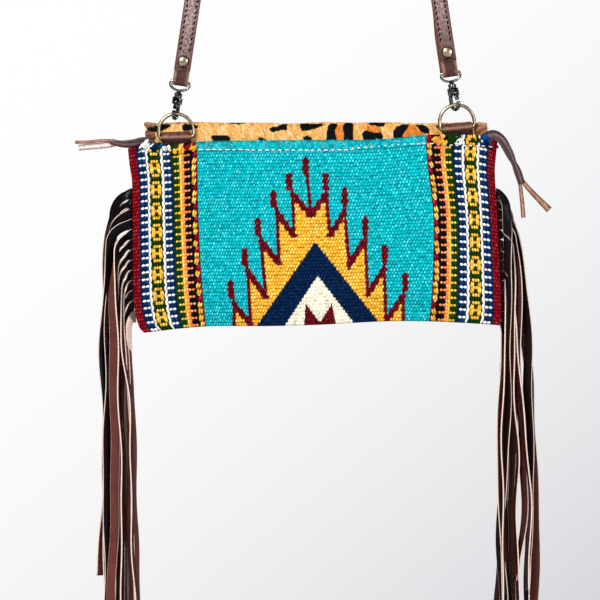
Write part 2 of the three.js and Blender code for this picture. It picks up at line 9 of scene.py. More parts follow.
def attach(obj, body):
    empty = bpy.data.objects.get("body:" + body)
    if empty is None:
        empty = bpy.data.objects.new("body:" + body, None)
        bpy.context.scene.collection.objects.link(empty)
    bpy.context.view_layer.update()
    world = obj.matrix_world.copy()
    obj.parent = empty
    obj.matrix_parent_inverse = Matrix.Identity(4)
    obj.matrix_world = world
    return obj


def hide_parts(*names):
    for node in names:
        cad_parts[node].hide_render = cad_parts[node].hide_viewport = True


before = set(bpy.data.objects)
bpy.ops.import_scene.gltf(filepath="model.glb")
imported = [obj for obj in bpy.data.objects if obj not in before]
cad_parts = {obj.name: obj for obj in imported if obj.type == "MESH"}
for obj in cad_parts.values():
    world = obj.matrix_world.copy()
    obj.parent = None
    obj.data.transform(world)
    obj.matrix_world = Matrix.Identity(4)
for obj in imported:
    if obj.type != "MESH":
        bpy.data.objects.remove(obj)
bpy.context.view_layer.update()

# Sizes in millimetres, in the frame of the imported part: +Z up, the front faces -Y.
MM = 0.001
SIDES = {
    "left": dict(
        sign=-1, eye_x=-95.0, eye_z=-549.0, ring_tilt=-2.0, clip_turn=-15.0, reach_top=13.0, reach_foot=6.5,
        band_rows=52, wedge=1.0,
    ),
    "right": dict(
        sign=1, eye_x=94.0, eye_z=-542.7, ring_tilt=-6.0, clip_turn=35.0, reach_top=10.0, reach_foot=5.0,
        band_rows=50, wedge=0.4,
    ),
}
CLEARANCE = 0.3
STRAP = Sizes(
    width=11.4, thick=3.0, arch_radius=12.0, start=8.0, step=6.0, arch_steps=40, end_dusk=0.6, dusk_run=42.0,
    edge_dusk=0.75, edge_from=0.45, edge_to=0.95, right_dusk=0.2, most_dusk=0.9,
)
LOOP = Sizes(
    width=10.9, layer=1.5, neck=5.5, top=9.0, wrap_from=150.0, wrap_to=390.0, wrap_steps=28, dusk=0.75,
    edge_light=0.65, edge_from=0.5, edge_to=0.95,
)
RIVET = Sizes(
    up=14.6, cap_radius=4.1, cap_height=1.9, post_radius=1.4, gap=0.05, ease=0.15, edge=0.35, sweep=88,
    steps=12, rim=1.1, bright=0.42, dark=-0.5,
)
EYE = Sizes(
    wire=0.95, half_bar=6.8, shoulder=1.6, depth=6.0, stem_radius=1.0, flange_radius=1.75, flange_top=-11.5,
    flange_foot=-12.6, ease=0.3, steps=30,
)
HOOK = Sizes(
    wire=1.45, bend=4.05, barrel_top=-7.4, barrel_foot=-11.2, bore_radius=1.35, barrel_radius=2.9,
    yoke_top=-10.8, yoke_foot=-15.8, ear_inside=2.05, ear_front=-3.2, pin_radius=0.55, pin_sunk=0.5,
    shank_y=2.5, shank_top=-14.0, shank_foot=-17.5, nose_top=-20.4, seat=0.45, steps=30,
)
GATE = Sizes(
    pivot_y=-1.7, pivot_z=-14.3, boss_radius=1.35, boss=3.4, hole=0.95, bar=1.9, bar_half=1.35, bar_top=-0.5,
    knob=3.4, knob_radius=0.6, knob_at=0.6,
)
RING = Sizes(
    wire=1.25, half_width=12.15, height=16.4, corner=1.8, below_eye=22.5, arch_steps=48, corner_steps=8,
    sides=18,
)
TAB = Sizes(
    width=20.6, layer=2.3, leg_foot=-10.2, back_neck=-4.0, front_neck=-3.4, front_neck_y=-0.1,
    front_foot_y=0.1, wrap_to=215, wrap_steps=30, fold_at=8, crease=0.55, crease_run=1.6, dusk=0.7,
    dusk_run=3,
)

POUCH = Sizes(y=3.4, z=-719.0, half_width=128.0, sag=0.8)
SEAM = Sizes(
    gap=0.15, fringe_gap=1.0, gap_from=9.7, gap_to=3.7, close_from=10.0, close_to=22.0, side_rise=8.0,
    foot_rise=20.0,
)
CLOTH = Sizes(thick=2.6, hem_extra=1.5, hem_deep=7.0, mouth=4.25, belly=6.5, edge_round=2.5)
HIDE = Sizes(thick=1.8, mouth=3.15, belly=7.5, top=0.97, columns=160, rows=90)
BAND = Sizes(
    half_width=119.6, front=0.1, back=5.0, top=142.0, front_foot=112.0, back_foot=118.0, fold=3.0,
    run_steps=70, columns=320, sink=0.3, lift_from=120, lift_to=138,
)
# Small waves of the fold along the purse: height, length for each radian and shift.
BAND_WAVES = [(0.35, 17.0, 0.0), (0.25, 7.3, 1.0)]
ZIP = Sizes(
    half_width=117.0, top=119.4, thick=1.6, ridge=1.2, back=-0.2, pitch=2.2, steps=60, crown=0.3, spread=0.05,
)
TOOTH = Sizes(from_end=2, steps=6, fill=0.8, wide=2.2, high=0.95, seat=0.1, stagger=0.35)
FRINGE = Sizes(
    top=95.0, foot=2.0, thick=0.95, width=6.6, length=278.0, bend_length=1.5, root_extra=2.2, drop=1.2,
    turn_in=4.5, wander=0.45, wander_run=50.0, depth_step=1.25, depth_to=-10.0, curl=0.25, arc_steps=16,
    hang_steps=56, wedge=0.9, wedge_at=0.75, wedge_run=0.4, tone_from=2.0, tone_to=30.0, flesh_run=15.0,
    flesh_end=0.15,
)
# Slow waves of the hanging strips: length in mm for each radian, and the shift from strip to strip.
FRINGE_WAVES = [(11, 2.4), (19, 1.7)]
LACE = Sizes(
    thick=2.0, tail_thick=1.6, steps=36, curl=0.5, waist_at=0.74, waist_run=0.07, fold_at=0.54, fold_run=0.1,
    streak_from=-1.4, streak_to=1.9, streak_run=0.3,
)
LACES = {
    "left": dict(
        root=[
            (-113.6, -2.2, 120.5), (-115, -2.2, 124.5), (-120, -2.4, 127.8), (-128, -3, 126.8),
            (-136, -3.2, 126.6), (-144, -3.4, 128.2),
        ],
        tails=[
            [(-140, -3.6, 129), (-150, -3.9, 129), (-160, -3.8, 128), (-168.6, -3.6, 127.8)],
            [(-141, -2.6, 126.9), (-148, -2.8, 125.8), (-157, -3, 124.9), (-166.2, -2.8, 124)],
        ],
    ),
    "right": dict(
        root=[
            (114.6, -2.2, 121), (118, -2.4, 129.5), (124, -3.8, 133), (129.6, -6.6, 129.8), (133.8, -7, 123),
            (137.6, -7, 115.2), (141, -6.8, 107.4), (143.8, -6.6, 98.8),
        ],
        tails=[
            [(142.4, -5.9, 102), (143.2, -6.6, 94), (144.2, -7, 85), (145, -7, 75)],
            [(143.4, -6.1, 102), (149, -6.4, 95), (156.6, -6.4, 87), (163.2, -6.2, 80.4)],
        ],
    ),
}

# Outline of the pouch: across runs from -1 at the left seam to 1 at the right one.
OUTLINE = dict(
    across=[-1.0, -0.92, -0.78, -0.62, -0.3, 0.0, 0.35, 0.6, 0.76, 0.92, 1.0],
    top=[123.6, 125.2, 125.6, 128.2, 129.0, 129.3, 129.7, 132.6, 133.3, 132.2, 129.0],
    foot=[-5.6, -4.4, -2.4, -1.0, -0.9, 0.1, 2.4, 2.4, 1.6, 0.4, -0.4],
)
# Where the side seams run: up is 0 at the foot and 1 at the cloth's top edge.
EDGES = dict(
    up=[0.0, 0.025, 0.09, 0.2, 0.5, 0.7, 0.83, 0.91, 1.0],
    left=[-120.4, -123.4, -126.2, -128.0, -128.3, -128.6, -129.0, -130.6, -131.8],
    right=[128.6, 129.4, 130.0, 129.4, 127.5, 126.2, 125.3, 126.0, 127.2],
)

# Yarn, hair and leather colours as they look in daylight, red, green and blue out of 255.
DYES = dict(
    turquoise=(0, 184, 194), gold=(255, 184, 52), navy=(0, 32, 70), cream=(251, 241, 216), wine=(104, 2, 20),
    green=(12, 54, 10), yellow=(248, 188, 56), orange=(255, 142, 74), black=(14, 10, 18), indigo=(0, 38, 82),
    white=(246, 246, 242), blue=(6, 74, 140), tan=(244, 176, 84), sand=(255, 228, 176), rust=(222, 122, 40),
    coal=(3, 6, 11), maroon=(138, 2, 22),
)

rng = np.random.default_rng(7)
FORWARD = np.array([0.0, -1.0, 0.0])
BACKWARD = -FORWARD
SIDEWAYS = np.array([1.0, 0.0, 0.0])


# Camera, light and stage

def srgb(colour):
    """Linear light from a colour given out of 255."""
    share = np.asarray(colour, float) / 255
    return np.where(share <= 0.04045, share / 12.92, ((share + 0.055) / 1.055) ** 2.4)


def opaque(colour):
    return (*srgb(colour), 1.0)


VIEW = Sizes(x=-11.2, z=-701.6, distance=3000.0, width=420.0, sensor=36.0, far=100.0)


def add_camera():
    data = bpy.data.cameras.new("camera")
    data.sensor_width = VIEW.sensor
    data.lens = VIEW.sensor * VIEW.distance / VIEW.width
    data.clip_end = VIEW.far
    camera = bpy.data.objects.new("camera", data)
    camera.location = (VIEW.x * MM, -VIEW.distance * MM, VIEW.z * MM)
    camera.rotation_euler = (math.pi / 2, 0, 0)
    bpy.context.scene.collection.objects.link(camera)
    bpy.context.scene.camera = camera


# Soft lights round the pouch: place in metres from its middle, size in metres, power in watts.
LIGHTS = [
    dict(name="key_light", place=(-1.2, -2.4, 1.5), size=0.8, power=84),
    dict(name="fill_light", place=(1.9, -2.0, 0.6), size=1.2, power=34),
    dict(name="low_light", place=(0.2, -2.2, -0.9), size=1.0, power=9),
    dict(name="back_light", place=(0.8, 2.4, 1.4), size=1.6, power=48),
]
POUCH_MIDDLE = np.array([0.0, 0.0, -0.66])
SKY_STRENGTH = 0.4


def add_lights():
    for row in LIGHTS:
        data = bpy.data.lights.new(row["name"], "AREA")
        data.size = row["size"]
        data.energy = row["power"]
        light = bpy.data.objects.new(row["name"], data)
        light.location = POUCH_MIDDLE + row["place"]
        light.rotation_mode = "QUATERNION"
        light.rotation_quaternion = (-Vector(row["place"])).to_track_quat("-Z", "Y")
        light.visible_camera = False
        bpy.context.scene.collection.objects.link(light)
    world = bpy.data.worlds.new("studio")
    world.use_nodes = True
    sky = world.node_tree.nodes["Background"]
    sky.inputs["Color"].default_value = (1, 1, 1, 1)
    sky.inputs["Strength"].default_value = SKY_STRENGTH
    bpy.context.scene.world = world


# Shader tools

class Value:
    """A shader socket that Python arithmetic works on: each operator adds a Math node."""

    def __init__(self, finish, socket):
        self.finish = finish
        self.socket = socket

    def math(self, operation, first, second):
        return self.finish.node("ShaderNodeMath", {"operation": operation}, {0: first, 1: second})

    def __add__(self, other):
        return self.math("ADD", self, other)

    def __sub__(self, other):
        return self.math("SUBTRACT", self, other)

    def __mul__(self, other):
        return self.math("MULTIPLY", self, other)

    def __pow__(self, other):
        return self.math("POWER", self, other)

    def __rsub__(self, other):
        return self.math("SUBTRACT", other, self)

    __radd__ = __add__
    __rmul__ = __mul__


class Finish:
    """One material: a shader, and the nodes that feed it."""

    def __init__(self, name, shader="ShaderNodeBsdfPrincipled", **constants):
        self.material = bpy.data.materials.new(name)
        self.material.use_nodes = True
        self.tree = self.material.node_tree
        self.tree.nodes.clear()
        sockets = {key.replace("_", " "): value for key, value in constants.items()}
        self.shader = self.node(shader, {}, sockets)
        self.node("ShaderNodeOutputMaterial", {}, {"Surface": self.shader})

    def node(self, kind, settings, sockets, output=0):
        """A node with its settings, then its sockets' values or links, as its chosen output."""
        made = self.tree.nodes.new(kind)
        for key, value in settings.items():
            if key == "stops":
                self.set_stops(made.color_ramp, value)
            else:
                setattr(made, key, value)
        for key, value in sockets.items():
            self.connect(value, made.inputs[key])
        return Value(self, made.outputs[output] if len(made.outputs) else None)

    def connect(self, value, socket):
        if isinstance(value, Value):
            self.tree.links.new(value.socket, socket)
        else:
            socket.default_value = value

    @staticmethod
    def set_stops(ramp, stops):
        while len(ramp.elements) < len(stops):
            ramp.elements.new(1.0)
        for element, (place, colour) in zip(ramp.elements, stops):
            element.position = place
            element.color = colour

    def feed(self, name, value):
        self.connect(value, self.shader.socket.node.inputs[name])

    def place(self):
        return self.node("ShaderNodeTexCoord", {}, {}, output=3)

    def stretched(self, scale):
        return self.node("ShaderNodeVectorMath", {"operation": "MULTIPLY"}, {0: self.place(), 1: scale})

    def noise(self, scale, detail=3.0, stretch=(1, 1, 1)):
        """Cloudy values about 0.5; scale counts the clouds in a metre."""
        return self.node(
            "ShaderNodeTexNoise", {}, {"Vector": self.stretched(stretch), "Scale": scale, "Detail": detail},
        )

    def ramp(self, value, *stops):
        rows = [(place, (level, level, level, 1)) for place, level in stops]
        return self.node("ShaderNodeValToRGB", {"stops": rows}, {0: value})

    def mix(self, share, first, second, blend="MIX"):
        settings = {"data_type": "RGBA", "blend_type": blend}
        return self.node("ShaderNodeMix", settings, {0: share, 6: first, 7: second}, output=2)

    def attribute(self, name, output=0):
        return self.node("ShaderNodeAttribute", {"attribute_name": name}, {}, output)

    def bump(self, height, strength, distance):
        sockets = {"Height": height, "Strength": strength, "Distance": distance}
        self.feed("Normal", self.node("ShaderNodeBump", {}, sockets))


# Finishes

def wool_finish(name):
    """Spun wool: the yarn's own colour, paler and darker fibres, and a fine nap."""
    finish = Finish(name, Roughness=0.85, Specular_IOR_Level=0.05)
    fibres = finish.noise(1500.0, 4.0, (0.45, 1, 1))
    yarn = finish.attribute("yarn")
    shade = finish.ramp(fibres, (0.3, 0.76), (0.66, 1.0))
    finish.feed("Base Color", finish.mix(1.0, yarn, shade, "MULTIPLY"))
    finish.bump(fibres, 0.5, 0.0004)
    return finish


def hair_finish(name):
    """Short sleek hair that takes the colour of the spot it grows in."""
    finish = Finish(name, Roughness=0.6, Specular_IOR_Level=0.06)
    streaks = finish.noise(900.0, 2.0)
    shade = finish.ramp(streaks, (0.3, 0.82), (0.7, 1.0))
    finish.feed("Base Color", finish.mix(1.0, finish.attribute("coat"), shade, "MULTIPLY"))
    finish.bump(streaks, 0.3, 0.0003)
    return finish


def leather_finish(
    name, dark, light, worn, roughness, gloss=0.0, mottle=90.0, contrast=(0.34, 0.68), deep=(60, 34, 32),
):
    """Grained leather, mottled between two shades, paler where it is worn and darker towards the deep colour
    where the dusk attribute is high; on the ring tabs, the lace roots and the rolled band ends the paleness
    is partly a painted highlight and the darkness partly painted shade.
    """
    finish = Finish(name, Specular_IOR_Level=0.18, Coat_Weight=gloss, Coat_Roughness=0.2)
    clouds = finish.noise(mottle, 5.0)
    pores = finish.node("ShaderNodeTexVoronoi", {}, {"Vector": finish.place(), "Scale": 900.0})
    cloudy = finish.ramp(clouds, (contrast[0], 0.0), (contrast[1], 1.0))
    mottled = finish.mix(cloudy, opaque(dark), opaque(light))
    scuffs = finish.ramp(finish.noise(mottle * 5, 4.0), (0.42, 0.25), (0.62, 1.0))
    wear = finish.attribute("wear", 2) * scuffs
    # Towards the deep colour by the dusk attribute: darkening, and painted shade on the tabs, lace roots and
    # band rolls.
    darkened_and_shaded = finish.mix(finish.attribute("dusk", 2), mottled, opaque(deep))
    finish.feed("Base Color", finish.mix(wear, darkened_and_shaded, opaque(worn)))
    finish.feed("Roughness", clouds * 0.3 + (roughness - 0.15))
    finish.bump(pores * 0.6 + clouds, 0.45, 0.0004)
    return finish


def fringe_finish(name, dark, light):
    """Smooth strip leather: each strip has its own shade, and the bends shine."""
    finish = Finish(name, Roughness=0.55, Specular_IOR_Level=0.06, Coat_Weight=0.06, Coat_Roughness=0.15)
    clouds = finish.noise(70.0, 4.0)
    grain = finish.noise(1400.0, 3.0)
    tone = finish.attribute("shade", 2) * finish.ramp(clouds, (0.3, 0.72), (0.7, 1.1))
    base = finish.mix(tone, opaque(dark), opaque(light))
    finish.feed("Base Color", finish.mix(1.0, base, finish.ramp(grain, (0.3, 0.8), (0.7, 1.0)), "MULTIPLY"))
    finish.bump(grain + clouds, 0.3, 0.0004)
    return finish


def cut_finish(name, dark, light):
    """Raw edge of cut leather, from dark to pale."""
    finish = Finish(name, Roughness=0.8, Specular_IOR_Level=0.1)
    fuzz = finish.ramp(finish.noise(900.0, 3.0), (0.3, 0.7), (0.65, 1.0))
    base = finish.mix(finish.attribute("pale", 2), opaque(dark), opaque(light))
    finish.feed("Base Color", finish.mix(1.0, base, fuzz, "MULTIPLY"))
    return finish


def metal_finish(name, bright, tarnish, roughness, spots, shine):
    """Plated metal, dark with tarnish and bright where the wear attribute is high, which on wires is a
    painted highlight; blotches of noise stand for tarnish and for painted reflections.
    """
    finish = Finish(name, Metallic=1.0)
    rubbing = finish.noise(2600.0, 2.0)
    # Dark and bright blotches: tarnish, and painted reflections of a dark surround.
    tarnish_and_reflection_blotches = finish.ramp(finish.noise(spots, 3.0), (0.42, -0.35), (0.6, shine))
    rubbed_and_highlit = finish.attribute("wear", 2) + finish.node("ShaderNodeSeparateColor", {}, {0: tarnish_and_reflection_blotches})
    finish.feed("Base Color", finish.mix(rubbed_and_highlit, opaque(tarnish), opaque(bright)))
    finish.feed("Roughness", rubbing * 0.14 + (roughness - 0.07))
    finish.bump(rubbing, 0.06, 0.0002)
    return finish


WOOL = wool_finish("spun_wool")
HAIR = hair_finish("spotted_hair")
STRAP_LEATHER = leather_finish(
    "strap_leather", dark=(66, 46, 47), light=(172, 150, 147), worn=(128, 66, 46), roughness=0.5, gloss=0.05,
    mottle=620.0, contrast=(0.34, 0.62), deep=(70, 38, 34),
)
FOLD_LEATHER = leather_finish(
    "folded_leather", dark=(44, 22, 18), light=(122, 68, 52), worn=(206, 164, 146), roughness=0.46,
    gloss=0.08, mottle=420.0, deep=(46, 25, 24),
)
FRINGE_LEATHER = fringe_finish("fringe_leather", dark=(6, 2, 6), light=(104, 54, 47))
FLESH_SIDE = leather_finish(
    "flesh_side", dark=(196, 188, 186), light=(238, 234, 232), worn=(120, 74, 56), roughness=0.85,
    mottle=500.0,
)
LACE_LEATHER = leather_finish(
    "lace_leather", dark=(28, 10, 17), light=(84, 48, 54), worn=(206, 180, 172), roughness=0.55, gloss=0.03,
    mottle=420.0, deep=(28, 10, 12),
)
TAN_LACE = leather_finish(
    "tan_lace", dark=(140, 94, 74), light=(192, 148, 126), worn=(84, 46, 34), roughness=0.7, mottle=260.0,
)
CUT_LEATHER = cut_finish("cut_leather_edge", dark=(22, 12, 16), light=(236, 208, 194))
SUEDE = leather_finish(
    "suede", dark=(84, 44, 26), light=(150, 88, 56), worn=(212, 168, 138), roughness=0.85, mottle=300.0,
)
BRASS = metal_finish(
    "antique_brass", bright=(222, 200, 166), tarnish=(44, 29, 18), roughness=0.25, spots=260.0, shine=0.35,
)
GUNMETAL = metal_finish(
    "gunmetal", bright=(160, 164, 160), tarnish=(6, 8, 10), roughness=0.2, spots=520.0, shine=0.55,
)


# Size of the floor and the surround in mm, and the painted light on the glowing surround: how it darkens
# across and falls off upwards.
STAGE = Sizes(floor=-1060.0, floor_radius=1900, surround_radius=12000, sides=96, rows=25, pole_gap=0.01)
SURROUND_SHADE = Sizes(across=0.212, up=0.265, middle=0.315, power=2.3, grey=(214, 215, 219))


def add_stage():
    """A pale floor below the fringe and a surround that glows with painted light, white at the upper left and
    grey at the lower right.
    """
    floor_finish = Finish("pale_floor", Base_Color=(0.62, 0.62, 0.63, 1), Roughness=0.9)
    surround_finish = Finish("pale_surround", "ShaderNodeEmission")
    parts = surround_finish.node("ShaderNodeSeparateXYZ", {}, {0: surround_finish.place()})
    height = Value(surround_finish, parts.socket.node.outputs[2])
    fall = parts * SURROUND_SHADE.across - height * SURROUND_SHADE.up + SURROUND_SHADE.middle
    tones = [(0.0, (1, 1, 1, 1)), (1.0, opaque(SURROUND_SHADE.grey))]
    ramp = surround_finish.node("ShaderNodeValToRGB", {"stops": tones}, {0: fall ** SURROUND_SHADE.power})
    surround_finish.feed("Color", ramp)

    turn = np.linspace(0, 2 * math.pi, STAGE.sides, endpoint=False)
    circle = np.stack([np.cos(turn), np.sin(turn)], 1)
    level = np.ones((STAGE.sides, 1))
    floor_ring = np.concatenate([circle * STAGE.floor_radius, level * STAGE.floor], 1)
    floor = Shape(floor_ring, [list(range(STAGE.sides))])
    pole = math.pi / 2 - STAGE.pole_gap
    rings = [
        np.concatenate([circle * math.cos(b), level * math.sin(b)], 1) * STAGE.surround_radius
        for b in np.linspace(-pole, pole, STAGE.rows)
    ]
    surround = loft(np.array(rings))
    for name, shape, finish in [("floor", floor, floor_finish), ("surround", surround, surround_finish)]:
        obj = link_object(name, shape, [finish])
        if name == "surround":
            for ray in ("diffuse", "glossy", "transmission", "shadow", "volume_scatter"):
                setattr(obj, f"visible_{ray}", False)


# Mesh tools

class Shape:
    """Points in millimetres and faces, with what the finishes read at each point."""

    def __init__(self, points, faces, attributes=None, finish_of=None, atlas=None):
        self.points = np.asarray(points, float).reshape(-1, 3)
        self.faces = faces
        self.attributes = attributes or {}
        self.finish_of = finish_of
        self.atlas = atlas

    def moved(self, matrix):
        turn = np.array(matrix)
        self.points = self.points @ turn[:3, :3].T + turn[:3, 3]
        return self

    def all_in(self, finish):
        self.finish_of = [finish] * len(self.faces)
        return self


def joined(shapes):
    """Several shapes as one; what one of them doesn't state is 0 there."""
    offsets = np.cumsum([0] + [len(s.points) for s in shapes])
    faces = [[corner + offset for corner in face] for s, offset in zip(shapes, offsets) for face in s.faces]
    attributes = {
        key: np.concatenate([s.attributes.get(key, np.zeros(len(s.points))) for s in shapes])
        for key in {key for s in shapes for key in s.attributes}
    }
    finish_of = [n for s in shapes for n in (s.finish_of if s.finish_of is not None else [0] * len(s.faces))]
    return Shape(np.concatenate([s.points for s in shapes]), faces, attributes, finish_of)


def link_object(name, shape, finishes):
    mesh = bpy.data.meshes.new(name)
    mesh.from_pydata((shape.points * MM).tolist(), [], [list(map(int, face)) for face in shape.faces])
    for finish in finishes:
        mesh.materials.append(finish.material)
    if shape.finish_of is not None:
        mesh.polygons.foreach_set("material_index", list(map(int, shape.finish_of)))
    for key, values in shape.attributes.items():
        colour = values.ndim > 1
        made = mesh.attributes.new(key, "FLOAT_COLOR" if colour else "FLOAT", "POINT")
        made.data.foreach_set("color" if colour else "value", values.astype(np.float32).ravel())
    if shape.atlas is not None:
        corners = np.empty(len(mesh.loops), np.int32)
        mesh.loops.foreach_get("vertex_index", corners)
        places = shape.atlas[corners].astype(np.float32).ravel()
        mesh.uv_layers.new(name="OFBake").data.foreach_set("uv", places)
    mesh.shade_smooth()
    obj = bpy.data.objects.new(name, mesh)
    bpy.context.scene.collection.objects.link(obj)
    return obj


def piece(name, shape, finishes, nodes, body="root"):
    """One piece of the purse, which stands for its CAD nodes and moves with a body."""
    obj = link_object(name, shape, finishes)
    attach(obj, body)
    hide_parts(*nodes)
    return obj


ATLAS_MARGIN = 0.08


def patches(grids, **attributes):
    """Many small sheets of points as one shape: grids holds (sheet, row, column, xyz)."""
    count, rows, columns, _ = grids.shape
    corner = np.arange(rows * columns).reshape(rows, columns)
    quads = np.stack([corner[:-1, :-1], corner[:-1, 1:], corner[1:, 1:], corner[1:, :-1]], -1)
    quads = quads.reshape(1, -1, 4)
    faces = (quads + (np.arange(count) * rows * columns)[:, None, None]).reshape(-1, 4)
    side = math.ceil(math.sqrt(count))
    ends = (ATLAS_MARGIN, 1 - ATLAS_MARGIN)
    v, u = np.meshgrid(np.linspace(*ends, rows), np.linspace(*ends, columns), indexing="ij")
    sheet = np.arange(count)[:, None, None]
    atlas = np.stack([sheet % side + u, sheet // side + v], -1).reshape(-1, 2) / side
    flat = {key: values.reshape(-1, values.shape[-1]) for key, values in attributes.items()}
    return Shape(grids, faces.tolist(), flat, atlas=atlas)


def loft(rings, closed=False, finish_of=None):
    """A skin over a row of rings of points. An open row is capped at both ends."""
    rings = np.asarray(rings, float)
    count, size, _ = rings.shape
    spans = count if closed else count - 1
    ring = np.arange(size)
    after = (ring + 1) % size
    faces = []
    for i in range(spans):
        here, there = i * size, (i + 1) % count * size
        faces += np.stack([here + ring, here + after, there + after, there + ring], 1).tolist()
    indices = list(finish_of) * spans if finish_of is not None else [0] * len(faces)
    if not closed:
        faces.append(ring[::-1].tolist())
        faces.append((ring + (count - 1) * size).tolist())
        indices += [max(indices), max(indices)]
    return Shape(rings, faces, finish_of=indices)


def unit(vectors):
    vectors = np.asarray(vectors, float)
    return vectors / np.linalg.norm(vectors, axis=-1, keepdims=True)


def tangents(path, closed=False):
    if closed:
        return unit(np.roll(path, -1, 0) - np.roll(path, 1, 0))
    return unit(np.gradient(path, axis=0))


def wire(path, radius, normal, closed=False, sides=14):
    """Round wire along a flat path, whose plane is square to normal."""
    path = np.asarray(path, float)
    normal = np.asarray(normal, float)
    side = np.cross(tangents(path, closed), normal)
    angle = np.linspace(0, 2 * math.pi, sides, endpoint=False)[None, :, None]
    radius = np.broadcast_to(radius, len(path))[:, None, None]
    rings = path[:, None] + radius * (np.cos(angle) * normal + np.sin(angle) * side[:, None])
    shape = loft(rings, closed)
    # Bright along the two lines of the wire that face square to its plane: a painted highlight.
    shape.attributes["wear"] = np.tile(smoothstep(np.abs(np.cos(angle)).ravel(), 0.9, 1.0), len(path))
    return shape


def turned(profile, sides=28):
    """A profile of (radius, height) pairs turned about the vertical."""
    profile = np.asarray(profile, float)
    angle = np.linspace(0, 2 * math.pi, sides, endpoint=False)
    rings = [np.stack([r * np.cos(angle), r * np.sin(angle), np.full(sides, h)], 1) for r, h in profile]
    return loft(rings)


# Section of a leather strip: across its width and through its thickness, both from -1 to 1.
STRIP_ACROSS = np.array([-0.93, -0.5, 0.0, 0.5, 0.93, 1.0, 1.0, 0.93, 0.5, 0.0, -0.5, -0.93, -1.0, -1.0])
STRIP_THROUGH = np.array([-1, -1, -1, -1, -1, -0.5, 0.5, 1, 1, 1, 1, 1, 0.5, -0.5])
CUT_FACES = [0, 0, 0, 0, 1, 1, 1, 0, 0, 0, 0, 1, 1, 1]


def strip(centres, flat, face, width, thick, curl=0.0):
    """A flat leather strip along a row of centres: flat points across it and face out of its back."""
    width = np.broadcast_to(width, len(centres))[:, None, None] / 2
    a = STRIP_ACROSS[None, :, None]
    thick = np.broadcast_to(thick, len(centres))[:, None, None] / 2
    b = STRIP_THROUGH[None, :, None] * thick + curl * (a**2 - 0.4)
    rings = centres[:, None] + flat[:, None] * (a * width) + face[:, None] * b
    shape = loft(rings, finish_of=CUT_FACES)
    shape.attributes["wear"] = np.tile(np.abs(STRIP_ACROSS) ** 14, len(centres))
    return shape


def rolled(flat, face, turn):
    """Directions across a strip and out of its back, rolled over by an angle at each place."""
    turn = np.asarray(turn)[:, None]
    return flat * np.cos(turn) + face * np.sin(turn), face * np.cos(turn) - flat * np.sin(turn)


def arc(centre_a, centre_b, radius_a, radius_b, start, end, steps):
    angle = np.radians(np.linspace(start, end, steps + 1))
    return np.stack([centre_a + radius_a * np.cos(angle), centre_b + radius_b * np.sin(angle)], 1)


def threads(starts, ends, outward, radius, lift, colours, rows=6, columns=8, bow=0.0):
    """Stitches: a capsule of thread from each start to each end, arched away from the surface."""
    v = np.linspace(0, 1, rows)[None, :, None]
    angle = np.linspace(0, 2 * math.pi, columns + 1)[None, None, :, None]
    run = ends - starts
    outward = np.broadcast_to(outward, starts.shape)
    side = unit(np.cross(unit(run), outward))
    arch = np.sin(math.pi * v)
    bow = np.broadcast_to(bow, len(starts))[:, None, None]
    centre = starts[:, None] + run[:, None] * v + outward[:, None] * (lift * arch - lift / 2)
    centre = centre + side[:, None] * bow * arch
    swell = radius * np.maximum(1 - np.abs(2 * v - 1) ** 4, 0.02) ** 0.5
    round_ = np.cos(angle) * outward[:, None, None] + np.sin(angle) * side[:, None, None]
    grids = centre[:, :, None] + swell[:, :, None] * round_
    tint = np.broadcast_to(colours[:, None, None], (*grids.shape[:3], 4))
    return patches(grids, yarn=tint)


def with_alpha(colours):
    return np.concatenate([colours, np.ones((*colours.shape[:-1], 1))], -1)


def dyed(name, count, spread):
    """Rows of one dye with a little difference from row to row."""
    shade = 1 + spread * rng.standard_normal((count, 1))
    return with_alpha(np.clip(srgb(DYES[name]) * shade, 0, 1))


# Shape of the pouch

def smoothstep(value, low, high):
    t = np.clip((np.asarray(value, float) - low) / (high - low), 0, 1)
    return t * t * (3 - 2 * t)


def lerp(first, second, share):
    return first + (second - first) * share


CLOUD_GRID = np.random.default_rng(5).random((97, 89))


def clouds(x, z, wide, tall, lean=0.0):
    """Smooth values from 0 to 1 in strokes of that width and height, leaning over by an angle."""
    a = (x * math.cos(lean) + z * math.sin(lean)) / wide
    b = (z * math.cos(lean) - x * math.sin(lean)) / tall
    column, row = np.floor(a).astype(int), np.floor(b).astype(int)
    u, v = smoothstep(a - column, 0, 1), smoothstep(b - row, 0, 1)
    corners = [
        CLOUD_GRID[(column + across) % CLOUD_GRID.shape[0], (row + up) % CLOUD_GRID.shape[1]]
        for up in (0, 1) for across in (0, 1)
    ]
    return lerp(lerp(corners[0], corners[1], u), lerp(corners[2], corners[3], u), v)


def along(table, column, at):
    """Value of a column at a place between a table's rows, on a smooth curve through them."""
    key = np.array(next(iter(table.values())), float)
    values = np.array(table[column], float)
    last = len(key) - 1
    low = np.maximum(np.arange(last + 1) - 1, 0)
    high = np.minimum(np.arange(last + 1) + 1, last)
    slope = (values[high] - values[low]) / (key[high] - key[low])
    i = np.clip(np.searchsorted(key, at) - 1, 0, last - 1)
    span = key[i + 1] - key[i]
    t = (np.asarray(at, float) - key[i]) / span
    rise = span * t * (1 - t) * ((1 - t) * slope[i] - t * slope[i + 1])
    return lerp(values[i], values[i + 1], t * t * (3 - 2 * t)) + rise


def seams(up):
    return along(EDGES, "left", up), along(EDGES, "right", up)


def pouch_x(across, up):
    left, right = seams(up)
    return lerp(left, right, (across + 1) / 2)


def pouch_z(across, up):
    return lerp(along(OUTLINE, "foot", across), along(OUTLINE, "top", across), up)


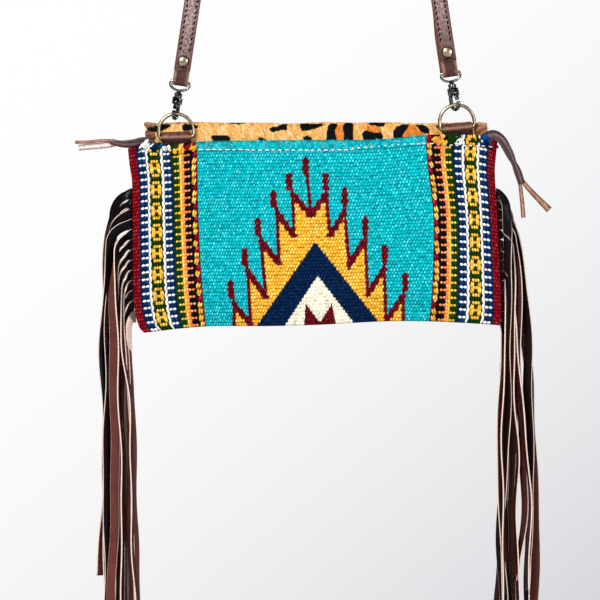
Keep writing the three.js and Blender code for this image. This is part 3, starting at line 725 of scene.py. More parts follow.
def pouch_depth(across, up, wall):
    """Distance of a wall's inner face from the seam plane."""
    seam_distance = (1 - np.abs(across)) * POUCH.half_width
    z = pouch_z(across, up)
    beside_fringe = 1 - smoothstep(z - FRINGE.top, SEAM.close_from, SEAM.close_to)
    spread = beside_fringe * (1 - smoothstep(seam_distance, SEAM.gap_to, SEAM.gap_from))
    gap = lerp(SEAM.gap, SEAM.fringe_gap, spread)
    foot_rise = smoothstep(z - pouch_z(across, 0), 0, SEAM.foot_rise)
    mouth = wall.mouth * smoothstep(seam_distance, 0, SEAM.side_rise) * foot_rise
    crown = (1 - across**2) * np.sin(math.pi * np.asarray(up, float) ** POUCH.sag)
    return gap + mouth + wall.belly * crown


def cloth_thickness(across, up):
    z = pouch_z(across, up)
    to_top = pouch_z(across, 1) - z
    to_side = (1 - np.abs(across)) * POUCH.half_width
    to_edge = np.minimum(np.minimum(to_top, z - pouch_z(across, 0)), to_side)
    hem = CLOTH.hem_extra * (1 - smoothstep(to_top, CLOTH.hem_deep - 1, CLOTH.hem_deep + 1))
    return (CLOTH.thick + hem) * smoothstep(to_edge, -CLOTH.edge_round, CLOTH.edge_round)


def cloth_face(x, up):
    """Points of the cloth's outer face, at a place x and a height up."""
    left, right = seams(up)
    across = np.clip(2 * (x - left) / (right - left) - 1, -1, 1)
    y = -pouch_depth(across, up, CLOTH) - cloth_thickness(across, up)
    return np.stack(np.broadcast_arrays(x, y, pouch_z(across, up)), -1)


def cloth_up(x, z):
    """Height share of a place on the cloth, from its x and z."""
    across = x / POUCH.half_width
    return (z - pouch_z(across, 0)) / (pouch_z(across, 1) - pouch_z(across, 0))


IN_POUCH = Matrix.Translation((0, POUCH.y, POUCH.z))


# Woven cloth

# Lumps of yarn: sizes in mm, laps and steps in rows, how much their shapes, tones and painted glints vary,
# and the painted shade in their gaps.
FIELD = Sizes(
    rows=55, top_row=53, columns=79, crowd=0.12, rise=0.8, rise_spread=0.16, sunk=0.35, lap=0.1, shake=0.08,
    lean=0.04, step=0.4, spread=0.11, glint=0.15, glint_spread=0.29, pinch=0.1, gap_shade=0.3, least=0.2,
    steps=(4, 4),
)
CLOTH_BAND = Sizes(rise=1.1, sunk=0.5, pinch=0.33, glint=0.12, glint_spread=0.22, gap_shade=0.1, steps=(5, 5))
# How lumps are shaped and painted: bulge of the dome, painted shade towards gaps and ends, and a painted
# glint above the crest.
LUMP = Sizes(
    bulge=2.4, pale_gap=0.8, end_shade=0.5, lit_from=0.8, glint_up=0.12, glint_from=0.75, glint_white=0.55,
)
FIELD_EDGES = Sizes(
    left=-83, left_foot=6, left_power=2.2, right=82.2, right_top=5.4, top_from=0.5, right_foot=2.8,
    foot_to=0.45,
)
# The backing wall under the lumps: its columns and rows, how far it lies below them, and how dark it is
# painted, as shade in the gaps between lumps.
BACKING = Sizes(columns=80, rows=50, below=0.15, least=0.3, shade=0.4, spread=0.05)

# Teeth of the stepped motif from its middle outwards, as (x, z): tip of the spire, peak, notch below.
TEETH = {
    "left": [
        ((-18.9, 104.2), (-16.4, 91.6), (-15.4, 62.2)), ((-29.8, 92.3), (-27.1, 78.3), (-25.9, 42.6)),
        ((-40.6, 72.7), (-38.5, 58.7), (-35.0, 19.5)), ((-49.7, 51.0), (-47.6, 37.0), (-45.8, 0.6)),
        ((-59.5, 29.3), (-57.1, 13.9), (-57.6, -8.0)),
    ],
    "right": [
        ((6.7, 104.2), (7.0, 91.6), (9.8, 62.2)), ((20.0, 93.0), (20.0, 79.0), (23.1, 41.6)),
        ((34.3, 73.4), (34.3, 59.8), (36.1, 21.6)), ((47.9, 53.8), (47.6, 39.1), (49.0, 2.7)),
        ((62.3, 34.9), (60.9, 20.2), (61.2, -8.0)),
    ],
}
MIDDLE_SPIRE = ((-7.3, 115.4), (-3.5, 76.0))
CHEVRON = [(-0.7, 58.0), (46.8, -1.5), (28.6, -1.5), (1.1, 34.2), (-22.4, -1.5), (-42.0, -1.5)]
INNER_PEAK = [(1.1, 34.2), (28.6, -1.5), (-22.4, -1.5)]
CROWN_TEETH = [[(-7.3, 15.0), (-8.4, -1.5), (4.0, 0.0)], [(11.2, 14.8), (14.4, -1.5), (1.6, 0.0)]]
SPIRE = Sizes(tip=8.5, tip_width=4.5, stem=2.4, side=2.5, diagonal=4.2, bead=4.72, swell=0.24)


def inside(outline, x, z):
    """Which points lie inside a closed outline."""
    found = np.zeros(x.shape, bool)
    for (xa, za), (xb, zb) in zip(outline, outline[1:] + outline[:1]):
        if za != zb:
            crossing = xa + (z - za) * (xb - xa) / (zb - za)
            found ^= ((za > z) != (zb > z)) & (x < crossing)
    return found


def near(start, end, width, x, z):
    """Which points lie on a line of that width."""
    ax, az = start
    dx, dz = end[0] - ax, end[1] - az
    t = np.clip(((x - ax) * dx + (z - az) * dz) / (dx * dx + dz * dz), 0, 1)
    return np.hypot(x - ax - t * dx, z - az - t * dz) < width / 2


def field_dye(x, z):
    """Name of the yarn at each place of the middle field."""
    dye = np.full(x.shape, "turquoise", "U12")
    valley = MIDDLE_SPIRE[1]
    beads = 1 + SPIRE.swell * np.sin(2 * math.pi * z / SPIRE.bead)
    rim = [[valley] + [corner for tooth in teeth for corner in tooth[1:]] for teeth in TEETH.values()]
    dye[inside(rim[0] + rim[1][:0:-1], x, z)] = "gold"
    for route in rim:
        for n, (start, end) in enumerate(zip(route, route[1:])):
            width = SPIRE.side if n % 2 else SPIRE.diagonal
            dye[near(start, end, width * beads, x, z)] = "wine"
    spires = [MIDDLE_SPIRE] + [(tip, peak) for side in TEETH.values() for tip, peak, _ in side]
    for tip, foot in spires:
        dye[near(tip, (tip[0], tip[1] - SPIRE.tip), SPIRE.tip_width * beads, x, z)] = "wine"
        dye[near(tip, foot, SPIRE.stem * beads, x, z)] = "wine"
    dye[inside(CHEVRON, x, z)] = "navy"
    dye[inside(INNER_PEAK, x, z)] = "cream"
    for tooth in CROWN_TEETH:
        dye[inside(tooth, x, z)] = "wine"
    return dye


def field_left(up):
    return FIELD_EDGES.left + FIELD_EDGES.left_foot * (1 - up) ** FIELD_EDGES.left_power


def field_right(up):
    top = FIELD_EDGES.right_top * smoothstep(up, FIELD_EDGES.top_from, 1)
    foot = FIELD_EDGES.right_foot * np.maximum(0, 1 - up / FIELD_EDGES.foot_to) ** 2
    return FIELD_EDGES.right - top - foot


def cloth_strip(name, up):
    """Outer and inner x of a strip of the cloth; the field runs from left to right."""
    left, right = seams(up)
    return {
        "field": (field_left(up), field_right(up)),
        "left": (left, field_left(up)),
        "right": (right, field_right(up)),
    }[name]


def dome(t):
    return 1 - np.abs(2 * t - 1) ** LUMP.bulge


def woven_lumps(strip_name, cells, rows, look):
    """Lumps of yarn over cells: left, right and lean in shares of the strip, low and high in rows.

    Cells that name no yarn take the motif's dye point by point.
    """
    pinch = look.pinch
    u = np.linspace(0, 1, look.steps[0] + 1)[None, None, :]
    v = np.linspace(0, 1, look.steps[1] + 1)[None, :, None]
    column = {key: values[:, None, None] for key, values in cells.items() if key != "yarn"}
    round_u = 0.5 + (u - 0.5) * (1 - pinch * (2 * v - 1) ** 2)
    round_v = 0.5 + (v - 0.5) * (1 - pinch * (2 * u - 1) ** 2)
    share = lerp(column["left"], column["right"], round_u) + column["lean"] * (v - 0.5)
    up = np.clip(lerp(column["low"], column["high"], round_v) / rows, 0, 1)
    share, up = np.broadcast_arrays(share, up)
    outer, inner = cloth_strip(strip_name, up)
    points = cloth_face(lerp(outer, inner, np.clip(share, 0, 1)), up)
    swell = dome(u) * dome(v)
    points[..., 1] += look.sunk - column["rise"] * swell
    if "yarn" in cells:
        dyed_yarn = cells["yarn"][:, None, None, :3]
    else:
        middle_z = points[..., 2].mean((1, 2), keepdims=True)
        names = field_dye(points[..., 0], lerp(middle_z, points[..., 2], FIELD.step))
        dyed_yarn = dye_colours(names) * column["tone"][..., None]
    # Painted shade: each lump darkens towards its gaps and ends, less for pale yarns.
    gap_shade = np.minimum(look.gap_shade + LUMP.pale_gap * dyed_yarn.min(-1, keepdims=True), 1)
    lit = smoothstep(dome(v) * lerp(LUMP.end_shade, 1.0, dome(u)), 0.0, LUMP.lit_from)[..., None]
    # Painted highlight: a glint just above each lump's crest, whitened towards white.
    crest = dome(u) * dome(np.clip(v - LUMP.glint_up, 0, 1))
    glint = smoothstep(crest, LUMP.glint_from, 1.0)[..., None] * column["glint"][..., None]
    white = LUMP.glint_white * glint * dyed_yarn.max(-1, keepdims=True)
    yarn = with_alpha(np.clip(dyed_yarn * lerp(gap_shade, 1.0, lit) * (1 + glint) + white, 0, 1))
    if strip_name == "right":
        points, yarn = points[:, :, ::-1], yarn[:, :, ::-1]
    return patches(points, yarn=yarn)


def dye_colours(names):
    kinds, which = np.unique(names, return_inverse=True)
    colours = np.array([srgb(DYES[name]) for name in kinds])
    return colours[which].reshape(*np.shape(names), 3)


def yarn_of(names, spread=0.13):
    """Colour of each named yarn, a little paler or darker from lump to lump."""
    return np.clip(dye_colours(names) * (1 + spread * rng.standard_normal((len(names), 1))), 0, 1)


def crowded(share):
    """Place across the field: the warp stands closer at the left than at the right."""
    return share * (1 - FIELD.crowd * (1 - share))


def field_cells():
    row, column = np.meshgrid(np.arange(FIELD.rows), np.arange(FIELD.columns + 1), indexing="ij")
    shift = 0.5 * (row % 2)
    left = crowded(np.clip((column - shift) / FIELD.columns, 0, 1)).ravel()
    right = crowded(np.clip((column + 1 - shift) / FIELD.columns, 0, 1)).ravel()
    row = row.ravel()
    whole = (right - left > FIELD.least / FIELD.columns) & (row < FIELD.top_row)
    left, right, row = left[whole], right[whole], row[whole]
    count = len(row)
    low = row - FIELD.lap + FIELD.shake * rng.standard_normal(count)
    return dict(
        left=left, right=right, low=low, high=low + 1 + 2 * FIELD.lap,
        lean=np.full(count, FIELD.lean / FIELD.columns),
        rise=FIELD.rise * (1 + FIELD.rise_spread * rng.standard_normal(count)),
        tone=1 + FIELD.spread * rng.standard_normal(count),
        glint=np.maximum(FIELD.glint + FIELD.glint_spread * rng.standard_normal(count), 0),
    )


# Columns of a side band from the seam inwards: kind, width in mm, yarns, and the row its rungs start on.
BAND_COLUMNS = [
    dict(kind="brick", width=5.5, yarn="maroon"),
    dict(kind="line", width=1.0, yarn="navy"),
    dict(kind="rungs", width=5.55, yarn="white", other="indigo", first=0),
    dict(kind="wave", width=1.6, yarn="white"),
    dict(kind="chain", width=8.9),
    dict(kind="wave", width=1.8, yarn="white"),
    dict(kind="rungs", width=5.35, yarn="white", other="indigo", first=1),
    dict(kind="line", width=1.0, yarn="navy"),
    dict(kind="line", width=1.05, yarn="green"),
    dict(kind="rungs", width=4.35, yarn="yellow", other="green", first=0),
    dict(kind="line", width=1.4, yarn="yellow", twist=0.8),
    dict(kind="line", width=1.75, yarn="orange", twist=0.8),
    dict(kind="rungs", width=4.6, yarn="orange", other="black", first=0),
    dict(kind="line", width=1.05, yarn="black"),
    dict(kind="cord", width=4.3),
]
BAND_WIDTH = sum(row["width"] for row in BAND_COLUMNS)
# How far the lumps of a column reach past their cells in mm and in rows, how they lean and stand out.
BAND_LUMPS = dict(
    brick=dict(pad=0.1, lap=0.12, lean=0.3, rise=0.8),
    line=dict(pad=0.3, lap=0.3, lean=0.3, rise=0.8),
    bright_rung=dict(pad=0.08, lap=-0.06, lean=0.25, rise=1.15),
    dark_rung=dict(pad=0.2, lap=0.42, lean=0.25, rise=0.9),
    dark_bead=dict(pad=0.8, lap=0.52, lean=0.25, rise=1.25),
    wave=dict(pad=-0.05, lap=0.4, lean=0.0, rise=1.2),
)
BRICKS_ACROSS = 3
WAVE_SWING = 0.34
# Beads of the cord: height in rows, lean and shift in mm, share of maroon beads, step and width of a pair.
CORD = Sizes(high=(1.55, 1.95), lean=(0.5, 1.3), shift=(-0.3, 0.5), maroon=0.7, step=1.6, width=2.1)
# Lumps of one link of the chain: left and right in mm, low and high in rows of its repeat.
CHAIN_ROWS = 6
CHAIN_PAD = 0.12
CHAIN_COLUMNS = ("left", "right", "low", "high", "lumps", "yarn", "lean", "rise")
CHAIN = [
    (0.3, 8.6, -0.15, 1.1, 5, "green", 0.3, 0.75),
    (1.7, 7.2, 0.95, 2.1, 3, "yellow", 0.3, 1.2),
    (1.7, 7.2, 4.9, 6.05, 3, "yellow", 0.3, 1.2),
    (0.1, 1.7, 0.7, 2.0, 1, "green", 0.3, 0.7),
    (7.2, 8.8, 0.7, 2.0, 1, "green", 0.3, 0.7),
    (0.1, 1.7, 5.0, 6.3, 1, "green", 0.3, 0.7),
    (7.2, 8.8, 5.0, 6.3, 1, "green", 0.3, 0.7),
    (0.6, 2.2, 1.8, 3.9, 1, "yellow", -0.5, 1.35),
    (1.7, 3.2, 1.9, 4.2, 1, "yellow", -0.5, 1.2),
    (0.6, 2.2, 3.2, 5.2, 1, "yellow", -0.3, 1.3),
    (1.7, 3.2, 3.4, 5.1, 1, "yellow", -0.4, 1.25),
    (6.7, 8.3, 1.8, 3.9, 1, "yellow", -0.5, 1.35),
    (5.7, 7.2, 1.9, 4.2, 1, "yellow", -0.5, 1.2),
    (6.7, 8.3, 3.2, 5.2, 1, "yellow", -0.3, 1.3),
    (5.7, 7.2, 3.4, 5.1, 1, "yellow", -0.4, 1.25),
    (3.1, 5.8, 1.95, 3.1, 2, "green", 0.2, 0.6),
    (2.9, 6.0, 2.95, 4.05, 2, "yellow", 0.5, 1.15),
    (3.1, 5.8, 3.9, 5.05, 2, "green", 0.2, 0.6),
]


def band_cells(rows):
    cells = []

    def add(left, right, low, high, yarn, lean, rise):
        if low < rows - 0.5:
            cells.append((left / BAND_WIDTH, right / BAND_WIDTH, low, high, lean / BAND_WIDTH, rise, yarn))

    def lump(kind, left, right, row, yarn, lean=None):
        look = BAND_LUMPS[kind]
        pad, lap = look["pad"], look["lap"]
        lean = look["lean"] if lean is None else lean
        add(left - pad, right + pad, row - lap, row + 1 + lap, yarn, lean, look["rise"])

    def brick(at, width, column):
        long = width / BRICKS_ACROSS
        for row in range(rows):
            shift = long / 2 * (row % 2)
            for n in range(BRICKS_ACROSS + 1):
                left = max(n * long - shift, 0)
                right = min((n + 1) * long - shift, width)
                if right - left > long / 4:
                    lump("brick", at + left, at + right, row, column["yarn"])

    def line(at, width, column):
        lean = column.get("twist", BAND_LUMPS["line"]["lean"]) * width
        for row in range(rows):
            lump("line", at, at + width, row, column["yarn"], lean)

    def rungs(at, width, column):
        middle = at + width / 2
        for row in range(rows):
            bright = row % 2 == column["first"]
            yarn = column["yarn"] if bright else column["other"]
            for left, right in ((at, middle), (middle, at + width)):
                lump("bright_rung" if bright else "dark_rung", left, right, row, yarn)
            if not bright:
                lump("dark_bead", middle, middle, row, yarn)

    def wave(at, width, column):
        for row in range(rows):
            swing = WAVE_SWING * (-1) ** row
            lump("wave", at + swing, at + width + swing, row, column["yarn"])

    def chain(at, width, column):
        """Yellow links with dark hearts, parted by rows of green."""
        for start in range(0, rows, CHAIN_ROWS):
            for values in CHAIN:
                row = dict(zip(CHAIN_COLUMNS, values))
                low, high = start + row["low"], start + row["high"]
                step = (row["right"] - row["left"]) / row["lumps"]
                for n in range(row["lumps"]):
                    left = at + row["left"] + n * step
                    right = left + step + CHAIN_PAD
                    add(left - CHAIN_PAD, right, low, high, row["yarn"], row["lean"], row["rise"])

    def cord(at, width, column):
        """Yellow beads in pairs with maroon behind them, then a maroon bead or a dot of white."""
        row, turn = 0.0, 0
        while row < rows - 1:
            high = min(row + rng.uniform(*CORD.high), rows)
            lean = rng.uniform(*CORD.lean)
            shift = rng.uniform(*CORD.shift)
            left, right = at + shift, at + width + shift
            if turn % 5 in (2, 4) and rng.random() < CORD.maroon:
                add(left + 0.4, right + 0.3, row - 0.1, high + 0.1, "maroon", lean, 1.4)
                add(at + 1.0, at + 2.4, high - 0.3, high + 0.25, "white", 0.0, 1.3)
            else:
                add(left + 0.9, right + 0.6, row + 0.1, high + 0.2, "maroon", lean, 1.0)
                for n in range(2):
                    first = left - 0.1 + CORD.step * n
                    low, top = row - 0.2 + 0.15 * n, high + 0.1 - 0.2 * n
                    add(first, first + CORD.width, low, top, "yellow", lean, 1.6 - 0.1 * n)
            row = high
            turn += 1

    makers = dict(brick=brick, line=line, rungs=rungs, wave=wave, chain=chain, cord=cord)
    at = 0.0
    for column in BAND_COLUMNS:
        makers[column["kind"]](at, column["width"], column)
        at += column["width"]
    keys = ("left", "right", "low", "high", "lean", "rise")
    made = {key: np.array([cell[n] for cell in cells], float) for n, key in enumerate(keys)}
    made["rise"] *= CLOTH_BAND.rise
    made["yarn"] = yarn_of([cell[-1] for cell in cells])
    glint = CLOTH_BAND.glint + CLOTH_BAND.glint_spread * rng.standard_normal(len(cells))
    made["glint"] = np.maximum(glint, 0)
    return made


def wall_shape(inner, outer):
    """A closed wall between an inner and an outer sheet of points."""
    rows, columns, _ = inner.shape
    sheets = patches(np.stack([outer, inner[:, ::-1]]))
    corner = np.arange(rows * columns).reshape(rows, columns)
    rims = [
        np.concatenate([sheet[0, :-1], sheet[:-1, -1], sheet[-1, :0:-1], sheet[:0:-1, 0]])
        for sheet in (corner, rows * columns + corner[:, ::-1])
    ]
    sides = np.stack([rims[0], rims[1], np.roll(rims[1], -1), np.roll(rims[0], -1)], 1)
    return Shape(sheets.points, sheets.faces + sides.tolist())


def both_sheets(colours, size):
    """Colours of a wall's outer sheet, and the same mirrored for its inner one."""
    mirrored = colours.reshape(*size, 4)[:, ::-1].reshape(-1, 4)
    return np.concatenate([colours, mirrored])


def wall_places(columns, rows, top):
    """Places over a wall, closer together near its edges."""
    spread = np.sin(np.linspace(-math.pi / 2, math.pi / 2, columns))
    heights = (1 + np.sin(np.linspace(-math.pi / 2, math.pi / 2, rows))) / 2 * top
    return np.meshgrid(spread, heights)


def cloth_piece(name, shape):
    return piece(name, shape.moved(IN_POUCH), [WOOL], ["woven_panel"])


def add_cloth():
    """The woven front: a backing wall, the field and the two side bands."""
    across, up = wall_places(BACKING.columns, BACKING.rows, 1.0)
    x, z = pouch_x(across, up), pouch_z(across, up)
    inner_y = -pouch_depth(across, up, CLOTH)
    thick = cloth_thickness(across, up) - FIELD.sunk - BACKING.below
    outer_y = inner_y - np.maximum(thick, BACKING.least)
    wall = wall_shape(np.stack([x, inner_y, z], -1), np.stack([x, outer_y, z], -1))
    # The backing is painted dark, and black under the bands, as shade seen in the gaps between the lumps.
    in_field = (x > field_left(up)) & (x < field_right(up))
    names = np.where(in_field, field_dye(x, z), "black")
    yarn = with_alpha(BACKING.shade * yarn_of(names.ravel(), BACKING.spread))
    wall.attributes["yarn"] = both_sheets(yarn, names.shape)
    back = cloth_piece("woven_back", wall)

    pieces = [cloth_piece("woven_field", woven_lumps("field", field_cells(), FIELD.rows, FIELD))]
    for name, side in SIDES.items():
        rows = side["band_rows"]
        shape = woven_lumps(name, band_cells(rows), rows, CLOTH_BAND)
        pieces.append(cloth_piece(f"woven_band_{name}", shape))
    return back, pieces


# Running stitch along the hem: places it passes, and its dash and gap.
HEM_STITCH = Sizes(
    dash=3.1, gap=1.5, radius=0.42, lift=0.5, out=0.35, shake=0.3, dash_shake=(-0.5, 0.7), side_shake=0.2,
    spread=0.03,
)
HEM_ROUTE = dict(x=[-82.0, 21.0, 35.0, 77.0, 95.0, 122.0], z=[122.4, 122.4, 124.1, 126.6, 125.6, 125.2])


def hem_stitches():
    pitch = HEM_STITCH.dash + HEM_STITCH.gap
    start = np.arange(HEM_ROUTE["x"][0], HEM_ROUTE["x"][-1], pitch)
    count = len(start)
    start = start + rng.uniform(-HEM_STITCH.shake, HEM_STITCH.shake, count)
    ends = start + HEM_STITCH.dash + rng.uniform(*HEM_STITCH.dash_shake, count)
    sides = []
    for x in (start, ends):
        z = along(HEM_ROUTE, "z", x) + rng.uniform(-HEM_STITCH.side_shake, HEM_STITCH.side_shake, count)
        sides.append(cloth_face(x, cloth_up(x, z)) + FORWARD * HEM_STITCH.out)
    colours = dyed("white", count, HEM_STITCH.spread)
    return threads(*sides, FORWARD, HEM_STITCH.radius, HEM_STITCH.lift, colours)


# Felted edge of the hem: heights as shares of the cloth, sizes in mm, and its shades and fibres.
HEM = Sizes(
    low=0.948, high=0.982, bulge=0.75, bulge_to=0.92, bulge_power=0.6, columns=420, rows=14, inset=0.3,
    nap=1.5, nap_lean=0.6, nap_shade=(0.62, 1.55), relief=0.16, seat=0.2, crest=0.5, crest_waves=(5.1, 2.3),
    crest_share=0.7, spread=0.2, foot_shade=0.6, foot_to=0.22,
)
FIBRES = Sizes(
    count=11000, at_top=0.4, from_foot=0.005, seat=0.1, slant=0.7, out=(-0.1, 0.2), spread=0.2, pale=0.06,
    pale_share=(0.3, 0.9), short=0.6, long=3.2, clump=1.3, width=(0.16, 0.3),
)


def hem_bulge(share):
    """How far the felted edge stands out, from its foot to its top."""
    return HEM.bulge * np.sin(math.pi * np.clip(share, 0, HEM.bulge_to)) ** HEM.bulge_power


def hem_nap(points):
    """Paler and darker clumps of the felted edge."""
    clumps = clouds(points[..., 0], points[..., 2], HEM.nap, HEM.nap, HEM.nap_lean)
    return lerp(*HEM.nap_shade, clumps)


def hem_roll():
    """Felted edge above the running stitch."""
    v = np.linspace(0, 1, HEM.rows)[:, None]
    up = lerp(HEM.low, HEM.high, v)
    left, right = field_left(up) + HEM.inset, field_right(up) - HEM.inset
    x = lerp(left, right, np.linspace(0, 1, HEM.columns)[None, :])
    x, up = np.broadcast_arrays(x, up)
    points = cloth_face(x, up)
    relief = hem_bulge(v) + HEM.relief * rng.standard_normal(x.shape)
    points[..., 1] -= relief - HEM.seat
    long, short = HEM.crest_waves
    points[..., 2] += HEM.crest * v * (1 + HEM.crest_share * np.sin(x / long) * np.sin(x / short))
    shade = hem_nap(points) + HEM.spread * rng.standard_normal(x.shape)
    shade = shade * lerp(HEM.foot_shade, 1.0, smoothstep(v, 0.0, HEM.foot_to))
    yarn = with_alpha(np.clip(srgb(DYES["turquoise"]) * shade[..., None], 0, 1))
    return patches(points[None], yarn=yarn[None])


def hem_fibres():
    """Short fibres that stand up from the felted edge over the hide."""
    count = FIBRES.count
    low, high = HEM.low, HEM.high
    share = rng.random(count)
    at_top = rng.random(count) < FIBRES.at_top
    up = np.where(at_top, high, rng.uniform(low + FIBRES.from_foot, high, count))
    x = lerp(field_left(up), field_right(up), share)
    roots = cloth_face(x, up)
    roots[:, 1] -= hem_bulge((up - low) / (high - low)) - FIBRES.seat
    slant = rng.normal(0, FIBRES.slant, count)
    flow = unit(np.stack([slant, rng.normal(*FIBRES.out, count), np.ones(count)], 1))
    outward = np.tile(FORWARD, (count, 1))
    fibre = hem_nap(roots)[:, None] * yarn_of(["turquoise"] * count, FIBRES.spread)
    pale = rng.uniform(*FIBRES.pale_share, (count, 1)) * (rng.random((count, 1)) < FIBRES.pale)
    clump = clouds(x, 0 * x, FIBRES.clump, 1.0) ** 2
    length = FIBRES.short + FIBRES.long * clump * rng.random(count)
    width = rng.uniform(*FIBRES.width, count)
    return hair_blades(roots, outward, flow, length, width, with_alpha(lerp(fibre, 1.0, pale)), "yarn")


# Frayed yarn at the tops of the side bands: middle, run, tilt in degrees, thickness, strands and dye.
TUFT_COLUMNS = ("x", "z", "run", "tilt", "thick", "strands", "dye")
TUFTS = [
    (-119.4, 125.2, 9.5, 45, 1.5, 6, "white"),
    (-118.6, 127.6, 6.5, 68, 1.2, 4, "white"),
    (-122.5, 122.6, 5.0, 20, 1.2, 3, "navy"),
    (-111.0, 126.0, 7.0, 18, 1.6, 5, "green"),
    (-113.0, 122.8, 8.5, 14, 1.5, 5, "navy"),
    (-107.6, 124.8, 4.5, 30, 1.4, 4, "blue"),
    (-104.9, 123.4, 6.5, -78, 1.3, 4, "white"),
    (-99.0, 122.0, 4.0, 80, 1.5, 3, "yellow"),
    (-94.6, 122.2, 4.0, 84, 1.5, 3, "yellow"),
    (-86.4, 124.0, 7.5, 62, 1.5, 4, "yellow"),
    (-89.0, 124.6, 7.5, 70, 1.4, 4, "maroon"),
    (79.4, 130.6, 8.0, 66, 1.7, 5, "maroon"),
    (83.2, 129.6, 8.0, 60, 1.4, 4, "yellow"),
    (86.4, 128.6, 7.0, 52, 1.3, 3, "orange"),
    (89.4, 127.6, 7.0, 36, 1.4, 4, "yellow"),
    (91.0, 130.6, 5.0, 70, 1.2, 3, "black"),
    (97.4, 131.2, 12.0, 12, 1.9, 6, "green"),
    (96.4, 129.0, 9.0, 24, 1.7, 5, "green"),
    (101.2, 128.4, 7.5, 44, 1.7, 4, "white"),
    (106.0, 129.6, 4.4, -80, 1.9, 3, "yellow"),
    (109.8, 129.4, 4.4, -75, 1.9, 3, "yellow"),
    (113.2, 129.8, 5.0, 82, 1.6, 4, "green"),
    (119.6, 129.2, 7.5, -6, 2.1, 6, "blue"),
    (119.0, 127.0, 6.5, 6, 1.7, 4, "navy"),
    (125.0, 126.4, 4.5, -50, 1.5, 3, "maroon"),
]
STRANDS = Sizes(
    radius=1.0, bow=0.5, lift=0.9, sway=14, length=(0.45, 0.85), aside=0.75, above=0.6, out=0.3,
    out_spread=1.3, most_up=0.995, spread=0.2, rows=8, columns=6,
)


def yarn_tufts():
    starts, ends, colours = [], [], []
    for values in TUFTS:
        row = dict(zip(TUFT_COLUMNS, values))
        count = row["strands"]
        tilt = np.radians(row["tilt"] + rng.normal(0, STRANDS.sway, count))
        run = row["run"] * rng.uniform(*STRANDS.length, count)
        middle_x = row["x"] + row["thick"] * rng.normal(0, STRANDS.aside, count)
        middle_z = row["z"] + row["thick"] * rng.normal(0, STRANDS.above, count)
        for sign, found in ((-0.5, starts), (0.5, ends)):
            x = middle_x + sign * run * np.cos(tilt)
            z = middle_z + sign * run * np.sin(tilt)
            points = cloth_face(x, np.clip(cloth_up(x, z), 0, STRANDS.most_up))
            points[:, 2] = z
            points[:, 1] -= STRANDS.out + rng.uniform(0, STRANDS.out_spread, count)
            found.append(points)
        colours.append(dyed(row["dye"], count, STRANDS.spread))
    starts, ends, colours = (np.concatenate(rows) for rows in (starts, ends, colours))
    bow = rng.normal(0, STRANDS.bow, len(starts))
    size = (STRANDS.rows, STRANDS.columns)
    return threads(starts, ends, FORWARD, STRANDS.radius, STRANDS.lift, colours, *size, bow)


# Spotted hide

